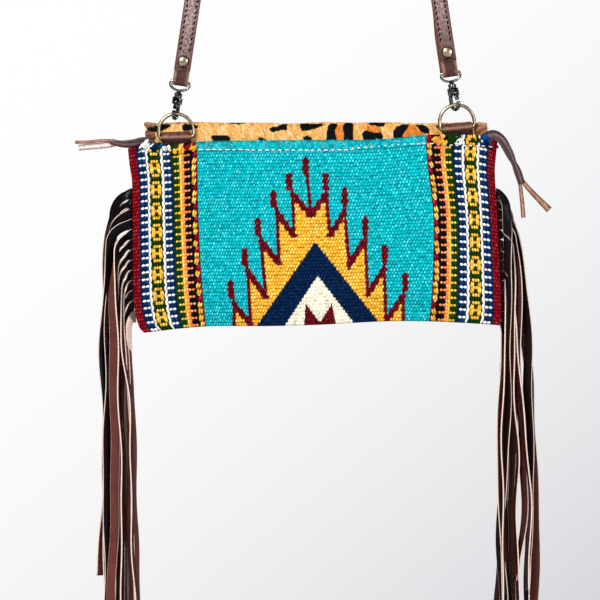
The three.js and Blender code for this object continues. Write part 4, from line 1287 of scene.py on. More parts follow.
# Spots on the folded band: dye and outline as (x, z); later rows lie over earlier ones.
BAND_SPOTS = [
    ("coal", [(-118.0, 138.1), (-112.4, 139.6), (-110.3, 138.1), (-111.2, 135.6), (-118.0, 135.1)]),
    ("coal", [(-109.9, 136.4), (-108.2, 140.6), (-102.1, 140.4), (-102.3, 138.9), (-105.3, 137.1),
              (-109.1, 135.7)]),
    ("coal", [(-93.5, 139.3), (-91.8, 140.8), (-83.0, 139.8), (-83.2, 138.2), (-86.0, 137.2),
              (-88.5, 136.4), (-91.8, 135.7), (-93.4, 137.2)]),
    ("coal", [(-73.5, 132.2), (-70.0, 132.5), (-63.3, 132.6), (-61.2, 131.8), (-60.1, 126.0),
              (-72.5, 126.0), (-71.7, 129.7)]),
    ("coal", [(-60.8, 143.0), (-51.1, 143.0), (-51.1, 141.0), (-54.0, 140.6), (-59.9, 140.8)]),
    ("coal", [(-40.6, 129.3), (-39.3, 131.4), (-37.2, 130.9), (-34.3, 128.8), (-34.6, 126.0),
              (-39.8, 126.0)]),
    ("coal", [(-32.2, 136.4), (-31.4, 138.2), (-26.3, 139.3), (-24.2, 140.4), (-20.6, 140.3),
              (-20.9, 136.4), (-23.0, 136.6), (-27.2, 136.0), (-29.7, 134.9)]),
    ("coal", [(-10.5, 140.6), (-4.5, 140.9), (5.6, 140.6), (5.4, 139.9), (-0.3, 137.7), (-7.0, 136.0),
              (-9.7, 136.6)]),
    ("coal", [(-8.8, 131.5), (-6.2, 132.4), (-3.2, 131.2), (-2.4, 126.0), (-7.4, 126.0)]),
    ("rust", [(13.0, 140.0), (20.4, 140.0), (20.4, 129.5), (13.0, 129.5)]),
    ("coal", [(8.8, 139.2), (10.8, 140.5), (14.1, 140.6), (15.0, 139.2), (13.3, 136.3), (13.7, 132.9),
              (14.6, 129.5), (14.8, 126.0), (7.4, 126.0), (8.0, 134.2)]),
    ("coal", [(19.6, 140.0), (21.7, 141.1), (25.1, 141.0), (25.9, 139.2), (25.5, 135.0), (25.6, 126.0),
              (19.2, 126.0), (19.9, 133.3), (19.2, 136.7)]),
    ("rust", [(36.0, 139.6), (38.9, 140.4), (44.8, 139.4), (45.2, 134.0), (40.6, 133.6), (36.4, 134.8)]),
    ("coal", [(36.4, 141.6), (42.3, 141.8), (48.2, 141.4), (47.3, 139.4), (44.8, 139.0), (38.1, 140.2)]),
    ("coal", [(33.0, 133.7), (34.7, 135.7), (38.1, 135.4), (40.6, 134.3), (44.8, 135.0), (46.1, 132.9),
              (45.6, 127.0), (35.1, 127.0)]),
    ("rust", [(64.0, 139.4), (70.6, 139.8), (75.0, 134.0), (74.0, 128.0), (59.6, 128.0), (62.8, 136.3)]),
    ("coal", [(64.5, 139.6), (60.8, 140.2), (57.0, 138.8), (54.7, 135.8), (54.5, 132.9), (55.7, 129.5),
              (59.9, 129.5), (60.8, 133.7), (63.3, 137.1)]),
    ("coal", [(70.4, 139.6), (74.2, 140.2), (78.8, 137.9), (79.2, 134.4), (76.7, 134.0), (73.8, 135.4)]),
    ("coal", [(83.3, 139.2), (86.0, 139.8), (88.6, 137.9), (88.6, 135.7), (86.8, 136.3)]),
]
ROSETTE = Sizes(
    pitch=25.0, row_pitch=0.86, rows=(-1, 8), columns=(-7, 8), shake=4, size=(0.75, 1.15), radius=7.4,
    squat=1.15, oval=0.14, knobs=0.08, heart=0.75, ring=2.3, ring_share=0.75, ring_swell=0.3, broken=-0.75,
)
COAT = Sizes(
    sand=0.85, streak=0.7, streak_from=0.45, streak_to=0.75, wide=0.6, long=1.9, lean=0.5, back_lean=0.1,
    grown=0.88, shade=(0.86, 1.14), skin_spread=0.04, hair_spread=0.2,
)


def rosette_places():
    """Middles, sizes and turns of the rosettes over the back, on a shaken grid."""
    draw = np.random.default_rng(21)
    pitch, shake = ROSETTE.pitch, ROSETTE.shake
    places = []
    for row in range(*ROSETTE.rows):
        for column in range(*ROSETTE.columns):
            x = (column + 0.5 * (row % 2)) * pitch + draw.uniform(-shake, shake)
            z = row * pitch * ROSETTE.row_pitch + draw.uniform(-shake, shake)
            places.append((x, z, draw.uniform(*ROSETTE.size), draw.uniform(0, 2 * math.pi)))
    return places


ROSETTE_PLACES = rosette_places()


def coat_dye(x, z, front):
    """Name of the hair colour at each place of the hide."""
    dye = np.full(x.shape, "tan", "U8")
    if front:
        for name, outline in BAND_SPOTS:
            middle_x, middle_z = np.mean(outline, 0)
            dye[inside(outline, lerp(middle_x, x, COAT.grown), lerp(middle_z, z, COAT.grown))] = name
        return dye
    for middle_x, middle_z, size, turn in ROSETTE_PLACES:
        dx, dz = x - middle_x, (z - middle_z) * ROSETTE.squat
        angle = np.arctan2(dz, dx)
        oval = ROSETTE.oval * np.sin(2 * angle + turn)
        knobs = ROSETTE.knobs * np.sin(5 * angle - turn)
        radius = ROSETTE.radius * size * (1 + oval + knobs)
        away = np.hypot(dx, dz)
        dye[away < radius * ROSETTE.heart] = "rust"
        broken = np.sin(3 * angle + turn) > ROSETTE.broken
        ring = ROSETTE.ring * (ROSETTE.ring_share + ROSETTE.ring_swell * np.sin(angle - turn))
        dye[(np.abs(away - radius) < ring) & broken] = "coal"
    return dye


def coat_colour(x, z, front, spread):
    names = coat_dye(x, z, front).ravel()
    lean = COAT.lean if front else COAT.back_lean
    stroke = clouds(x, z, COAT.wide, COAT.long, lean).ravel()
    streak = smoothstep(stroke, COAT.streak_from, COAT.streak_to)
    colours = yarn_of(names, spread) * lerp(*COAT.shade, stroke)[:, None]
    for spot, dye, share in (("tan", "sand", COAT.sand), ("rust", "tan", COAT.streak)):
        pale = streak * np.where(names == spot, share, 0)
        colours = lerp(colours, srgb(DYES[dye]), pale[:, None])
    return with_alpha(colours)


def band_section(run):
    """y, z and outward direction of the folded band, run millimetres up its front, over and down its back."""
    outer = (BAND.back - BAND.front) / 2
    middle = (BAND.back + BAND.front) / 2
    shoulder = BAND.top - outer
    rise = shoulder - BAND.front_foot
    angle = math.pi - np.clip((run - rise) / outer, 0, math.pi)
    past = np.maximum(run - rise - math.pi * outer, 0)
    up = np.minimum(run, rise) - rise
    y = middle + outer * np.cos(angle)
    z = shoulder + up + outer * np.sin(angle) - past
    return y, z, np.cos(angle), np.sin(angle)


BAND_RUN = (BAND.top - BAND.front_foot) + BAND.fold + (BAND.top - BAND.back_foot)


def band_lift(x, z):
    """Small rise and fall of the fold along the purse."""
    waves = sum(high * np.sin(x / long + shift) for high, long, shift in BAND_WAVES)
    return (waves - BAND.sink) * smoothstep(z, BAND.lift_from, BAND.lift_to)


def hide_band():
    """The hide folded over the top, hair side out."""
    run = np.linspace(0, BAND_RUN, BAND.run_steps)
    y, z, out_y, out_z = band_section(run)
    xs = np.linspace(-BAND.half_width, BAND.half_width, BAND.columns)
    outer = np.stack([y, z], 1)
    inner = outer - HIDE.thick * np.stack([out_y, out_z], 1)
    section = np.concatenate([outer, inner[::-1]])
    rings = np.empty((len(xs), len(section), 3))
    rings[..., 0] = xs[:, None]
    rings[..., 1] = section[None, :, 0]
    rings[..., 2] = section[None, :, 1] + band_lift(xs[:, None], section[:, 1])
    shape = loft(rings)
    flat = rings.reshape(-1, 3)
    shape.attributes["coat"] = coat_colour(flat[:, 0], flat[:, 2], True, COAT.skin_spread)
    return shape.moved(IN_POUCH)


# A hair at its root, middle and tip: place along it, width and shade.
BLADE = Sizes(
    along=np.array([0.0, 0.55, 1.0]), half=np.array([0.5, 0.42, 0.1]), shade=np.array([0.7, 1.0, 1.08]),
)
ARCH = Sizes(rise=0.30, fall=0.12)


def hair_blades(roots, outward, flow, length, width, colours, key="coat"):
    """Short tapered hairs, each a small sheet that leans over the skin."""
    v = BLADE.along
    side = unit(np.cross(flow, outward))
    reach = (length[:, None] * v)[..., None]
    height = (length[:, None] * (ARCH.rise * v - ARCH.fall * v**2))[..., None]
    centre = roots[:, None] + flow[:, None] * reach + outward[:, None] * height
    half = (width[:, None] * BLADE.half)[..., None]
    grids = np.stack([centre + side[:, None] * half, centre - side[:, None] * half], 2)
    tint = colours[:, None, :] * BLADE.shade[None, :, None]
    tint = np.clip(np.broadcast_to(tint[:, :, None], (*grids.shape[:3], 4)), 0, 1)
    return patches(grids, **{key: tint})


def grown_hair(roots, outward, flow, look, front):
    """Hairs of the hide, without those that would lie over a spot of another colour."""
    length = rng.uniform(*look.length, len(roots))
    tips = roots + flow * length[:, None]
    x, z = roots[:, 0], roots[:, 2]
    same = coat_dye(x, z, front) == coat_dye(tips[:, 0], tips[:, 2], front)
    colours = coat_colour(x, z, front, COAT.hair_spread)
    width = rng.uniform(*look.width, len(roots))
    kept = [values[same] for values in (roots, outward, flow, length, width, colours)]
    return hair_blades(*kept).moved(IN_POUCH)


BAND_HAIR = Sizes(
    count=36000, run_from=12.0, run_end=2, slant=0.55, slant_spread=0.25, length=(1.5, 2.6),
    width=(0.22, 0.36),
)
BACK_HAIR = Sizes(
    count=34000, across=0.99, up=(0.03, 0.985), slant_spread=0.25, sway=0.2, sway_long=40, length=(2.4, 3.8),
    width=(0.4, 0.7),
)


def band_hair():
    count = BAND_HAIR.count
    x = rng.uniform(-BAND.half_width, BAND.half_width, count)
    run = rng.uniform(BAND_HAIR.run_from, BAND_RUN - BAND_HAIR.run_end, count)
    y, z, out_y, out_z = band_section(run)
    roots = np.stack([x, y, z + band_lift(x, z)], 1)
    zero = np.zeros(count)
    outward = np.stack([zero, out_y, out_z], 1)
    down = np.stack([zero, -out_z, out_y], 1) * np.where(out_y < 0, 1, -1)[:, None]
    slant = BAND_HAIR.slant + BAND_HAIR.slant_spread * rng.standard_normal(count)
    flow = unit(down + slant[:, None] * SIDEWAYS)
    return grown_hair(roots, outward, flow, BAND_HAIR, True)


def hide_back():
    across, up = wall_places(HIDE.columns, HIDE.rows, HIDE.top)
    x, z = pouch_x(across, up), pouch_z(across, up)
    inner_y = pouch_depth(across, up, HIDE)
    inner = np.stack([x, inner_y, z], -1)
    outer = np.stack([x, inner_y + HIDE.thick, z], -1)
    shape = wall_shape(outer, inner).moved(IN_POUCH)
    coat = coat_colour(x.ravel(), z.ravel(), False, COAT.skin_spread)
    shape.attributes["coat"] = both_sheets(coat, x.shape)
    return shape


def back_hair():
    count = BACK_HAIR.count
    across = rng.uniform(-BACK_HAIR.across, BACK_HAIR.across, count)
    up = rng.uniform(*BACK_HAIR.up, count) * HIDE.top
    x, z = pouch_x(across, up), pouch_z(across, up)
    roots = np.stack([x, pouch_depth(across, up, HIDE) + HIDE.thick, z], 1)
    outward = np.tile(BACKWARD, (count, 1))
    sway = BACK_HAIR.sway * np.sin(x / BACK_HAIR.sway_long)
    slant = BACK_HAIR.slant_spread * rng.standard_normal(count) + sway
    flow = unit(np.stack([slant, np.zeros(count), -np.ones(count)], 1))
    return grown_hair(roots, outward, flow, BACK_HAIR, False)


# Ends of the band, where the skin is rolled and its brown flesh side shows: middle, size and tilt.
BAND_ROLLS = [
    dict(x=-116.4, z=140.2, wide=8.4, tall=3.2, tilt=-3, worn=0.4),
    dict(x=-116.2, z=132.8, wide=7.4, tall=5.4, tilt=-12, worn=0.1),
    dict(x=115.8, z=136.2, wide=8.8, tall=9.0, tilt=-10, worn=0.2),
    dict(x=116.4, z=140.6, wide=7.0, tall=2.4, tilt=-8, worn=0.9),
]
ROLL = Sizes(
    steps=15, sides=20, half_deep=1.3, y=-0.5, end_power=6, end_share=0.98, crease=0.175, turns=5, slant=4.0,
    dusk=0.6, dusk_from=0.2,
)


def band_rolls():
    v = np.linspace(-1, 1, ROLL.steps)
    swell = np.sqrt(np.maximum(1 - v ** ROLL.end_power * ROLL.end_share, 1 - ROLL.end_share))
    angle = np.linspace(0, 2 * math.pi, ROLL.sides, endpoint=False)
    shapes = []
    for row in BAND_ROLLS:
        tilt = math.radians(row["tilt"])
        run = v * row["wide"] / 2
        path = np.stack([run * math.cos(tilt), 0 * v, run * math.sin(tilt)], 1)
        section = np.stack([0 * angle, -np.sin(angle) * ROLL.half_deep, np.cos(angle) * row["tall"] / 2], 1)
        crease = np.sin(ROLL.turns * angle[None] + ROLL.slant * v[:, None] + row["x"])
        section = section[None] * (1 + ROLL.crease * crease[..., None])
        shape = loft(path[:, None] + swell[:, None, None] * section)
        shape.points += (row["x"], ROLL.y, row["z"])
        # Paler on the crests of the creases, and painted shade in their hollows.
        shape.attributes["wear"] = row["worn"] * (1 + crease.ravel())
        shape.attributes["dusk"] = ROLL.dusk * smoothstep(-crease.ravel(), ROLL.dusk_from, 1.0)
        shapes.append(shape)
    return joined(shapes).moved(IN_POUCH)


def add_hide():
    parts = [
        ("hide_back", hide_back(), HAIR), ("hide_band", hide_band(), HAIR),
        ("hide_back_hair", back_hair(), HAIR), ("hide_band_hair", band_hair(), HAIR),
        ("hide_rolls", band_rolls(), SUEDE),
    ]
    for name, shape, finish in parts:
        piece(name, shape, [finish], ["hide_panel"])


# Zip, laces and fringe

def add_zip():
    """Tape with a row of small teeth along its ridge."""
    x = np.linspace(-ZIP.half_width, ZIP.half_width, ZIP.steps)
    up = ZIP.top / pouch_z(0.0, 1)
    front = CLEARANCE - pouch_depth(x / POUCH.half_width, up, CLOTH)
    edge = ZIP.top - ZIP.ridge
    foot = edge - ZIP.thick
    crown = edge + ZIP.crown
    back = np.full_like(x, ZIP.back)
    rows = [
        (front, foot), (back, foot), (back, edge), (lerp(front, back, 0.6), crown),
        (lerp(front, back, 0.4), crown), (front, edge),
    ]
    rings = np.stack([np.stack([x, y, np.full_like(x, z)], 1) for y, z in rows], 1)
    tape = loft(rings)
    tape.attributes["yarn"] = dyed("black", len(tape.points), ZIP.spread)
    piece("zip_tape", tape.moved(IN_POUCH), [WOOL], ["zip_chain"])

    row_end = ZIP.half_width - TOOTH.from_end
    tooth_x = np.arange(-row_end, row_end, ZIP.pitch)
    middle = np.interp(tooth_x, x, (front + back) / 2)
    u = np.linspace(0, 1, TOOTH.steps)
    uu, vv = np.meshgrid(u, u)
    grids = np.empty((len(tooth_x), *uu.shape, 3))
    stagger = TOOTH.stagger * (-1.0) ** np.arange(len(tooth_x))
    grids[..., 0] = tooth_x[:, None, None] + (uu - 0.5) * ZIP.pitch * TOOTH.fill
    grids[..., 1] = (middle + stagger)[:, None, None] + (vv - 0.5) * TOOTH.wide
    grids[..., 2] = edge + TOOTH.seat + dome(uu) * dome(vv) * TOOTH.high
    piece("zip_teeth", patches(grids).moved(IN_POUCH), [BRASS], ["zip_chain"])


def spline(points, steps):
    """Points along a smooth curve through a few, with the pace of the gaps between them."""
    points = np.asarray(points, float)
    pace = np.concatenate([[0], np.cumsum(np.sqrt(np.linalg.norm(np.diff(points, axis=0), axis=1)))])
    at = np.linspace(0, pace[-1], steps + 1)
    return np.stack([along(dict(at=pace, place=points[:, n]), "place", at) for n in range(3)], 1)


def lace(route, width, thick, worn, twist=0.0, curl=0.0, taper=1.0, pinch=0.0):
    """A flat lace along a route, twisted over in its middle, tapered, and pinched near its end."""
    path = spline(route, LACE.steps)
    run = tangents(path)
    flat = unit(np.cross(run, BACKWARD))
    face = np.cross(flat, run)
    share = np.linspace(0, 1, len(path))
    flat, face = rolled(flat, face, twist * np.sin(math.pi * share))
    waist = 1 - pinch * np.exp(-(((share - LACE.waist_at) / LACE.waist_run) ** 2))
    shape = strip(path, flat, face, width * lerp(1.0, taper, share) * waist, thick, curl)
    shape.attributes["wear"] = np.tile(worn, len(path))
    return shape


# How pale the laces are across their width: on the roots a painted highlight line down the middle and worn
# pale edges, on the tails an outline along the edges.
ROOT_WEAR = np.where(STRIP_ACROSS == 0, 0.3, 0.25 * np.abs(STRIP_ACROSS) ** 8)
TAIL_WEAR = 2.4 * smoothstep(np.abs(STRIP_ACROSS), 0.25, 0.85)
# streak: strength of a painted highlight crossing the root; fold: strength of a painted shadow in its fold;
# dusk: how dark the whole root is.
LACE_ROOTS = dict(
    left=dict(width=9.4, twist=0.35, pinch=0.0, dusk=0.3, taper=0.38, streak=0.0, fold=0.0),
    right=dict(width=8.8, twist=0.6, pinch=0.36, dusk=0.7, taper=0.55, streak=0.24, fold=0.3),
)
# Tails of the laces: width, how far it changes to the end, and finish (1 flesh side, 2 tan).
LACE_TAILS = {
    "left": [dict(width=1.9, taper=1.2, finish=2), dict(width=4.6, taper=0.9, finish=1)],
    "right": [dict(width=2.6, taper=1.2, finish=2), dict(width=2.8, taper=1.7, finish=2)],
}


def lace_root(route, look):
    """Root of a lace, with a painted highlight streak that crosses it and a painted shadow in the fold below
    the streak.
    """
    shape = lace(
        route, look["width"], LACE.thick, ROOT_WEAR, look["twist"], LACE.curl, look["taper"], look["pinch"],
    )
    share = np.repeat(np.linspace(0, 1, LACE.steps + 1), len(STRIP_ACROSS))
    across = np.tile(STRIP_ACROSS, LACE.steps + 1)
    # The streak is a painted highlight, and the fold below it painted shadow.
    from_streak = across - lerp(LACE.streak_from, LACE.streak_to, share)
    streak = np.exp(-((from_streak / LACE.streak_run) ** 2)) * smoothstep(share, 0.1, 0.25)
    fold = smoothstep(-across, -0.1, 0.4) * np.exp(-(((share - LACE.fold_at) / LACE.fold_run) ** 2))
    shape.attributes["wear"] = shape.attributes["wear"] + look["streak"] * streak
    shape.attributes["dusk"] = np.clip(look["dusk"] + look["fold"] * fold, 0, 1)
    return shape.all_in(0)


def add_laces():
    finishes = [LACE_LEATHER, FLESH_SIDE, TAN_LACE]
    for side, rows in LACES.items():
        shapes = [lace_root(rows["root"], LACE_ROOTS[side])]
        for route, look in zip(rows["tails"], LACE_TAILS[side]):
            tail = lace(route, look["width"], LACE.tail_thick, TAIL_WEAR, taper=look["taper"])
            edge_finish = 0 if look["finish"] == 1 else look["finish"]
            tail.finish_of = [edge_finish if cut else look["finish"] for cut in tail.finish_of]
            shapes.append(tail)
        shape = joined(shapes).moved(IN_POUCH)
        piece(f"zip_pull_{side}_fine", shape, finishes, [f"zip_pull_{side}"])


# Heights in mm at which each hanging strip is placed, from the bend down to the cut ends.
LANE_HEIGHTS = [76.0, 60.0, 32.0, -10.0, -52.0, -94.0, -136.0, -190.0]
# Strips of the fringe from the top root down: middle and turn in degrees (90 is edge-on) at those heights,
# layer at the bend and at the foot, how brown it is, how pale its root's edge is, the height of its end if it
# is cut short, and the height down to which its flesh side shows.
LANE_COLUMNS = ("x", "turn", "layers", "brown", "pale", "end", "flesh")
LANES = {
    "left": [
        ([-142.1, -145.6, -147.7, -147.4, -147.0, -147.7, -149.1, -152.3],
         [20, -15, -35, -45, -50, -60, -60, -40], (5, 5), 0.8, 0.15, -176),
        ([-140.5, -142.8, -142.5, -142.3, -140.8, -140.7, -141.4, -142.8],
         [50, 50, 30, 12, 16, 14, 18, 20], (4, -1), 1.0, 0.15, -200),
        ([-139.5, -142.8, -143.5, -145.3, -145.3, -146.4, -146.3, -145.3],
         [-20, -20, -20, -25, -30, -32, -30, -25], (3, 2), 0.03, 0.2, -202),
        ([-141.0, -143.9, -145.6, -149.0, -147.8, -147.4, -147.0, -146.3],
         [-8, -15, -35, -30, -28, -40, -50, -40], (1, 3), 0.0, 0.95),
        ([-136.0, -138.6, -140.0, -137.9, -137.2, -135.9, -135.1, -135.5],
         [-30, -45, -75, -78, -80, -76, -80, -78], (-2, -3), 0.2, 1.0),
        ([-136.5, -137.9, -138.6, -139.0, -138.3, -137.7, -137.0, -137.2],
         [-60, -60, -40, 10, 15, 10, 12, 10], (2, 4), 0.4, 0.3),
        ([-134.5, -135.8, -137.2, -136.5, -135.8, -135.5, -135.5, -135.1],
         [-60, -60, -60, 0, 5, 0, -5, 0], (1, 6), 0.0, 0.45),
        ([-135.0, -136.5, -136.5, -134.4, -132.8, -132.0, -131.7, -129.2],
         [-60, -60, -60, 15, 22, 24, 22, 20], (1, 1), 0.5, 0.5),
        ([-133.5, -134.4, -134.4, -135.5, -129.5, -128.9, -128.5, -125.3],
         [-60, -60, -65, -75, -75, -72, -75, -70], (-1, -2), 0.3, 0.6),
        ([-133.0, -133.0, -133.0, -132.7, -129.2, -127.4, -127.4, -124.6],
         [-60, -60, -60, -60, -50, -55, -60, -55], (0, 1), 0.9, 0.5),
        ([-133.0, -133.0, -133.0, -133.0, -131.6, -131.6, -132.3, -132.3],
         [-60, -60, -60, 20, 10, 0, 0, 0], (0, 6), 0.08, 0.6),
        ([-132.3, -132.3, -132.3, -132.3, -133.1, -133.5, -133.7, -134.4],
         [-65, -65, -65, -30, 0, 0, 10, 10], (0, 4), 0.0, 0.6),
        ([-131.6, -131.6, -131.6, -131.0, -131.3, -130.9, -130.6, -128.8],
         [-50, -50, -50, -60, -50, -30, -20, -20], (-1, 2), 0.25, 0.95, None, -22.0),
    ],
    "right": [
        ([133.5, 134.4, 133.7, 133.9, 134.1, 131.8, 129.4, 130.9],
         [22, -30, -35, -35, -38, -40, -35, -30], (-2, -1), 0.04, 0.35, -200),
        ([135.1, 141.0, 145.2, 148.0, 149.1, 149.8, 149.1, 148.4],
         [-50, -50, -40, -25, -20, -25, -40, -60], (2, 2), 0.04, 0.3, -202),
        ([134.4, 139.6, 143.6, 147.0, 149.8, 152.5, 153.8, 153.3],
         [20, 22, 21, 5, -10, -14, -12, -10], (4, 5), 0.7, 0.4, -204),
        ([134.8, 137.9, 141.6, 141.4, 142.1, 145.3, 146.0, 137.2],
         [-45, -45, -40, -40, -42, -40, -50, -75], (0, -1), 0.5, 0.5, -179),
        ([134.4, 136.5, 138.6, 137.9, 138.6, 140.6, 139.7, 142.1],
         [-70, -70, -75, -76, -78, -76, -78, -74], (-1, -2), 0.3, 0.3),
        ([134.6, 135.1, 135.1, 133.4, 131.8, 131.2, 131.6, 132.3],
         [30, 30, 30, 70, 74, 74, 72, 70], (1, -2), 0.3, 0.12),
        ([135.0, 135.8, 135.8, 136.5, 137.6, 137.6, 136.5, 137.2],
         [-20, -20, -20, 0, 12, 8, 5, 0], (3, 4), 0.25, 0.1),
        ([135.0, 135.8, 135.8, 135.5, 136.2, 136.8, 136.5, 137.6],
         [0, 0, 0, 5, 0, -5, 0, 5], (4, 6), 0.03, 0.1),
        ([135.5, 136.5, 136.5, 139.3, 143.5, 147.0, 149.5, 147.7],
         [-60, -60, -60, -66, -70, -72, -75, -75], (1, -3), 0.3, 0.1, -186),
        ([134.4, 134.4, 134.4, 134.8, 133.4, 134.4, 135.1, 134.4],
         [0, 0, 0, 10, 12, 8, 10, 8], (3, 5), 0.12, 0.1),
        ([133.7, 133.7, 133.7, 133.7, 132.3, 132.3, 131.3, 127.4],
         [-10, -10, -10, -10, -15, -12, -20, -25], (2, 3), 0.2, 0.1),
        ([133.0, 133.0, 133.0, 133.0, 132.0, 130.9, 131.6, 134.4],
         [10, 10, 10, 10, 15, 20, 15, 30], (1, 1), 0.06, 0.15),
        ([132.3, 132.3, 132.3, 132.0, 130.8, 128.8, 130.5, 133.4],
         [40, 40, 40, 40, 40, 42, 45, 50], (0, 0), 0.55, 0.9),
    ],
}


def lane_x(row, z):
    heights = LANE_HEIGHTS[::-1]
    return along(dict(z=heights, x=row["x"][::-1]), "x", np.clip(z, heights[0], heights[-1]))


def fringe_strip(name, index):
    """A strip leaves the seam edge-up, bends down in a quarter ellipse and hangs along its lane."""
    side, row = SIDES[name], dict(zip(LANE_COLUMNS, LANES[name][index]))
    strips = len(LANES[name])
    from_top = index / (strips - 1)
    root_z = lerp(FRINGE.top, FRINGE.foot, (index + 0.5) / strips)
    sign = side["sign"]
    foot, top = pouch_z(sign, 0), pouch_z(sign, 1)
    root_x = float(pouch_x(sign, (root_z - foot) / (top - foot)))
    reach = lerp(side["reach_top"], side["reach_foot"], from_top)
    drop = FRINGE.drop * reach
    bend_z = root_z - drop
    end_z = row.get("end") or bend_z - FRINGE.length + FRINGE.bend_length * reach

    angle = np.linspace(0, math.pi / 2, FRINGE.arc_steps + 1)
    hang_z = np.linspace(bend_z, end_z, FRINGE.hang_steps + 1)[1:]
    out = float(lane_x(row, bend_z)) - root_x
    loose = smoothstep(bend_z - hang_z, 0, FRINGE.wander_run) * FRINGE.wander
    sway = sum(np.sin(hang_z / long + shift * index) for long, shift in FRINGE_WAVES)
    x = np.concatenate([root_x + out * np.sin(angle), lane_x(row, hang_z) + loose * sway])
    z = np.concatenate([root_z - drop * (1 - np.cos(angle)), hang_z])
    at_bend, at_foot = np.array(row["layers"]) * FRINGE.depth_step
    y = np.concatenate([
        at_bend * smoothstep(angle, 0.2, 1.5),
        lerp(at_foot, at_bend, smoothstep(hang_z, FRINGE.depth_to, bend_z)),
    ])
    slope = np.concatenate([angle, np.full(len(hang_z), math.pi / 2)])
    near_root = 1 - smoothstep(np.abs(x - root_x), 0, FRINGE.turn_in)
    near_root[len(angle):] = 0
    turn = np.radians(np.interp(z, LANE_HEIGHTS[::-1], row["turn"][::-1]) * (1 - near_root))
    width = FRINGE.width + FRINGE.root_extra * near_root
    plane = np.stack([sign * np.sin(slope), 0 * slope, np.cos(slope)], 1)
    flat, face = rolled(plane, BACKWARD, turn)
    wedge = side["wedge"] * np.exp(-(((angle - FRINGE.wedge_at) / FRINGE.wedge_run) ** 2))
    wedge = np.concatenate([wedge, 0 * hang_z])
    thick = FRINGE.thick * (1 + FRINGE.wedge * wedge)
    shape = strip(np.stack([x, y, z], 1), flat, face, width, thick, FRINGE.curl)

    below_bend = np.concatenate([0 * angle, bend_z - hang_z])
    shade = row["brown"] * smoothstep(below_bend, FRINGE.tone_from, FRINGE.tone_to)
    # At the bend the wedge paints the thickened cut edge pale: a painted highlight.
    pale = np.maximum(lerp(row["pale"], 1.0, smoothstep(below_bend, 0, FRINGE.tone_to)), wedge)
    if "flesh" in row:
        shape.all_in(1)
        shown = smoothstep(z, row["flesh"] - FRINGE.flesh_run, row["flesh"]) * smoothstep(slope, 0.5, 0.9)
        pale = pale * lerp(FRINGE.flesh_end, 1.0, shown)
    for key, values in dict(shade=shade, pale=pale).items():
        shape.attributes[key] = np.repeat(values, len(STRIP_ACROSS))
    return shape


def add_fringe():
    finishes = [FRINGE_LEATHER, CUT_LEATHER]
    for name, rows in LANES.items():
        shape = joined([fringe_strip(name, index) for index in range(len(rows))]).moved(IN_POUCH)
        piece(f"fringe_{name}_fine", shape, finishes, [f"fringe_{name}"])


# Strap, clips, rings and tabs

def strap_run(side):
    """Lean of a strap run from the vertical, its length, and the arch's radius."""
    radius = STRAP.arch_radius + STRAP.thick / 2
    drop = -STRAP.arch_radius - side["eye_z"]
    to_arch = math.hypot(side["eye_x"], drop)
    lean = math.atan2(abs(side["eye_x"]), drop) - math.asin(radius / to_arch)
    return lean, math.sqrt(to_arch**2 - radius**2), radius


def strap_stations():
    """Points, tangents and turns from one eye over the arch to the other."""
    runs = []
    for side in SIDES.values():
        lean, length, radius = strap_run(side)
        up = np.linspace(STRAP.start, length, round(length / STRAP.step), endpoint=False)
        x = side["eye_x"] - side["sign"] * up * math.sin(lean)
        points = np.stack([x, 0 * up, side["eye_z"] + up * math.cos(lean)], 1)
        tangent = np.tile([math.sin(lean), 0, -side["sign"] * math.cos(lean)], (len(up), 1))
        runs.append((points, tangent, math.pi / 2 * smoothstep(up, 0, length)))
    left_lean, right_lean = [strap_run(side)[0] for side in SIDES.values()]
    angle = np.linspace(math.pi - left_lean, right_lean, STRAP.arch_steps + 1)
    arch = np.stack([radius * np.cos(angle), 0 * angle, radius * np.sin(angle) - STRAP.arch_radius], 1)
    arch_run = np.stack([np.sin(angle), 0 * angle, -np.cos(angle)], 1)
    parts = [runs[0], (arch, arch_run, np.full(len(angle), math.pi / 2)), tuple(row[::-1] for row in runs[1])]
    return [np.concatenate(rows) for rows in zip(*parts)]


STITCH = Sizes(
    inset=2.3, pitch=3.8, dash=3.3, radius=0.56, slant=0.55, from_eye=21.5, to_end=14, cross_up=9.9, cross=4,
    lift=0.3, spread=0.2, rows=4, columns=6,
)
UNDER = Sizes(aside=-1.3, foot=1.0, top=47.0, thick=1.2, back=0.8, steps=12)


def under_layer(clip):
    """Turned-back end of the right strap, which shows beside its front layer."""
    up = np.linspace(UNDER.foot, UNDER.top, UNDER.steps)
    aside = UNDER.aside * (1 - smoothstep(up, UNDER.top / 2, UNDER.top))
    centres = np.stack([aside, np.full_like(up, UNDER.back), up], 1)
    across = np.tile(SIDEWAYS, (len(up), 1))
    depth = np.tile(BACKWARD, (len(up), 1))
    layer = strip(centres, across, depth, STRAP.width, UNDER.thick).all_in(1)
    layer.attributes["wear"] = 0 * layer.attributes["wear"]
    return layer.moved(clip)


def strap_loop(clip):
    """End of the strap, folded round the bar of an eye."""
    bar = EYE.wire + CLEARANCE + LOOP.layer / 2
    leg = STRAP.thick / 2 - LOOP.layer / 2
    neck, top = LOOP.neck, LOOP.top
    wrap = arc(0, 0, bar, bar, LOOP.wrap_from, LOOP.wrap_to, LOOP.wrap_steps)
    route = np.array([(-leg, top), (-leg, neck), *wrap, (leg, neck), (leg, top)])
    path = np.stack([0 * route[:, 0], route[:, 0], route[:, 1]], 1)
    across = np.tile(SIDEWAYS, (len(path), 1))
    out = np.cross(tangents(path), across)
    loop = strip(path, across, out, LOOP.width, LOOP.layer).all_in(1)
    edge = smoothstep(np.abs(STRIP_ACROSS), LOOP.edge_from, LOOP.edge_to)
    loop.attributes["dusk"] = np.tile(LOOP.dusk - LOOP.edge_light * edge, len(path))
    return loop.moved(clip)


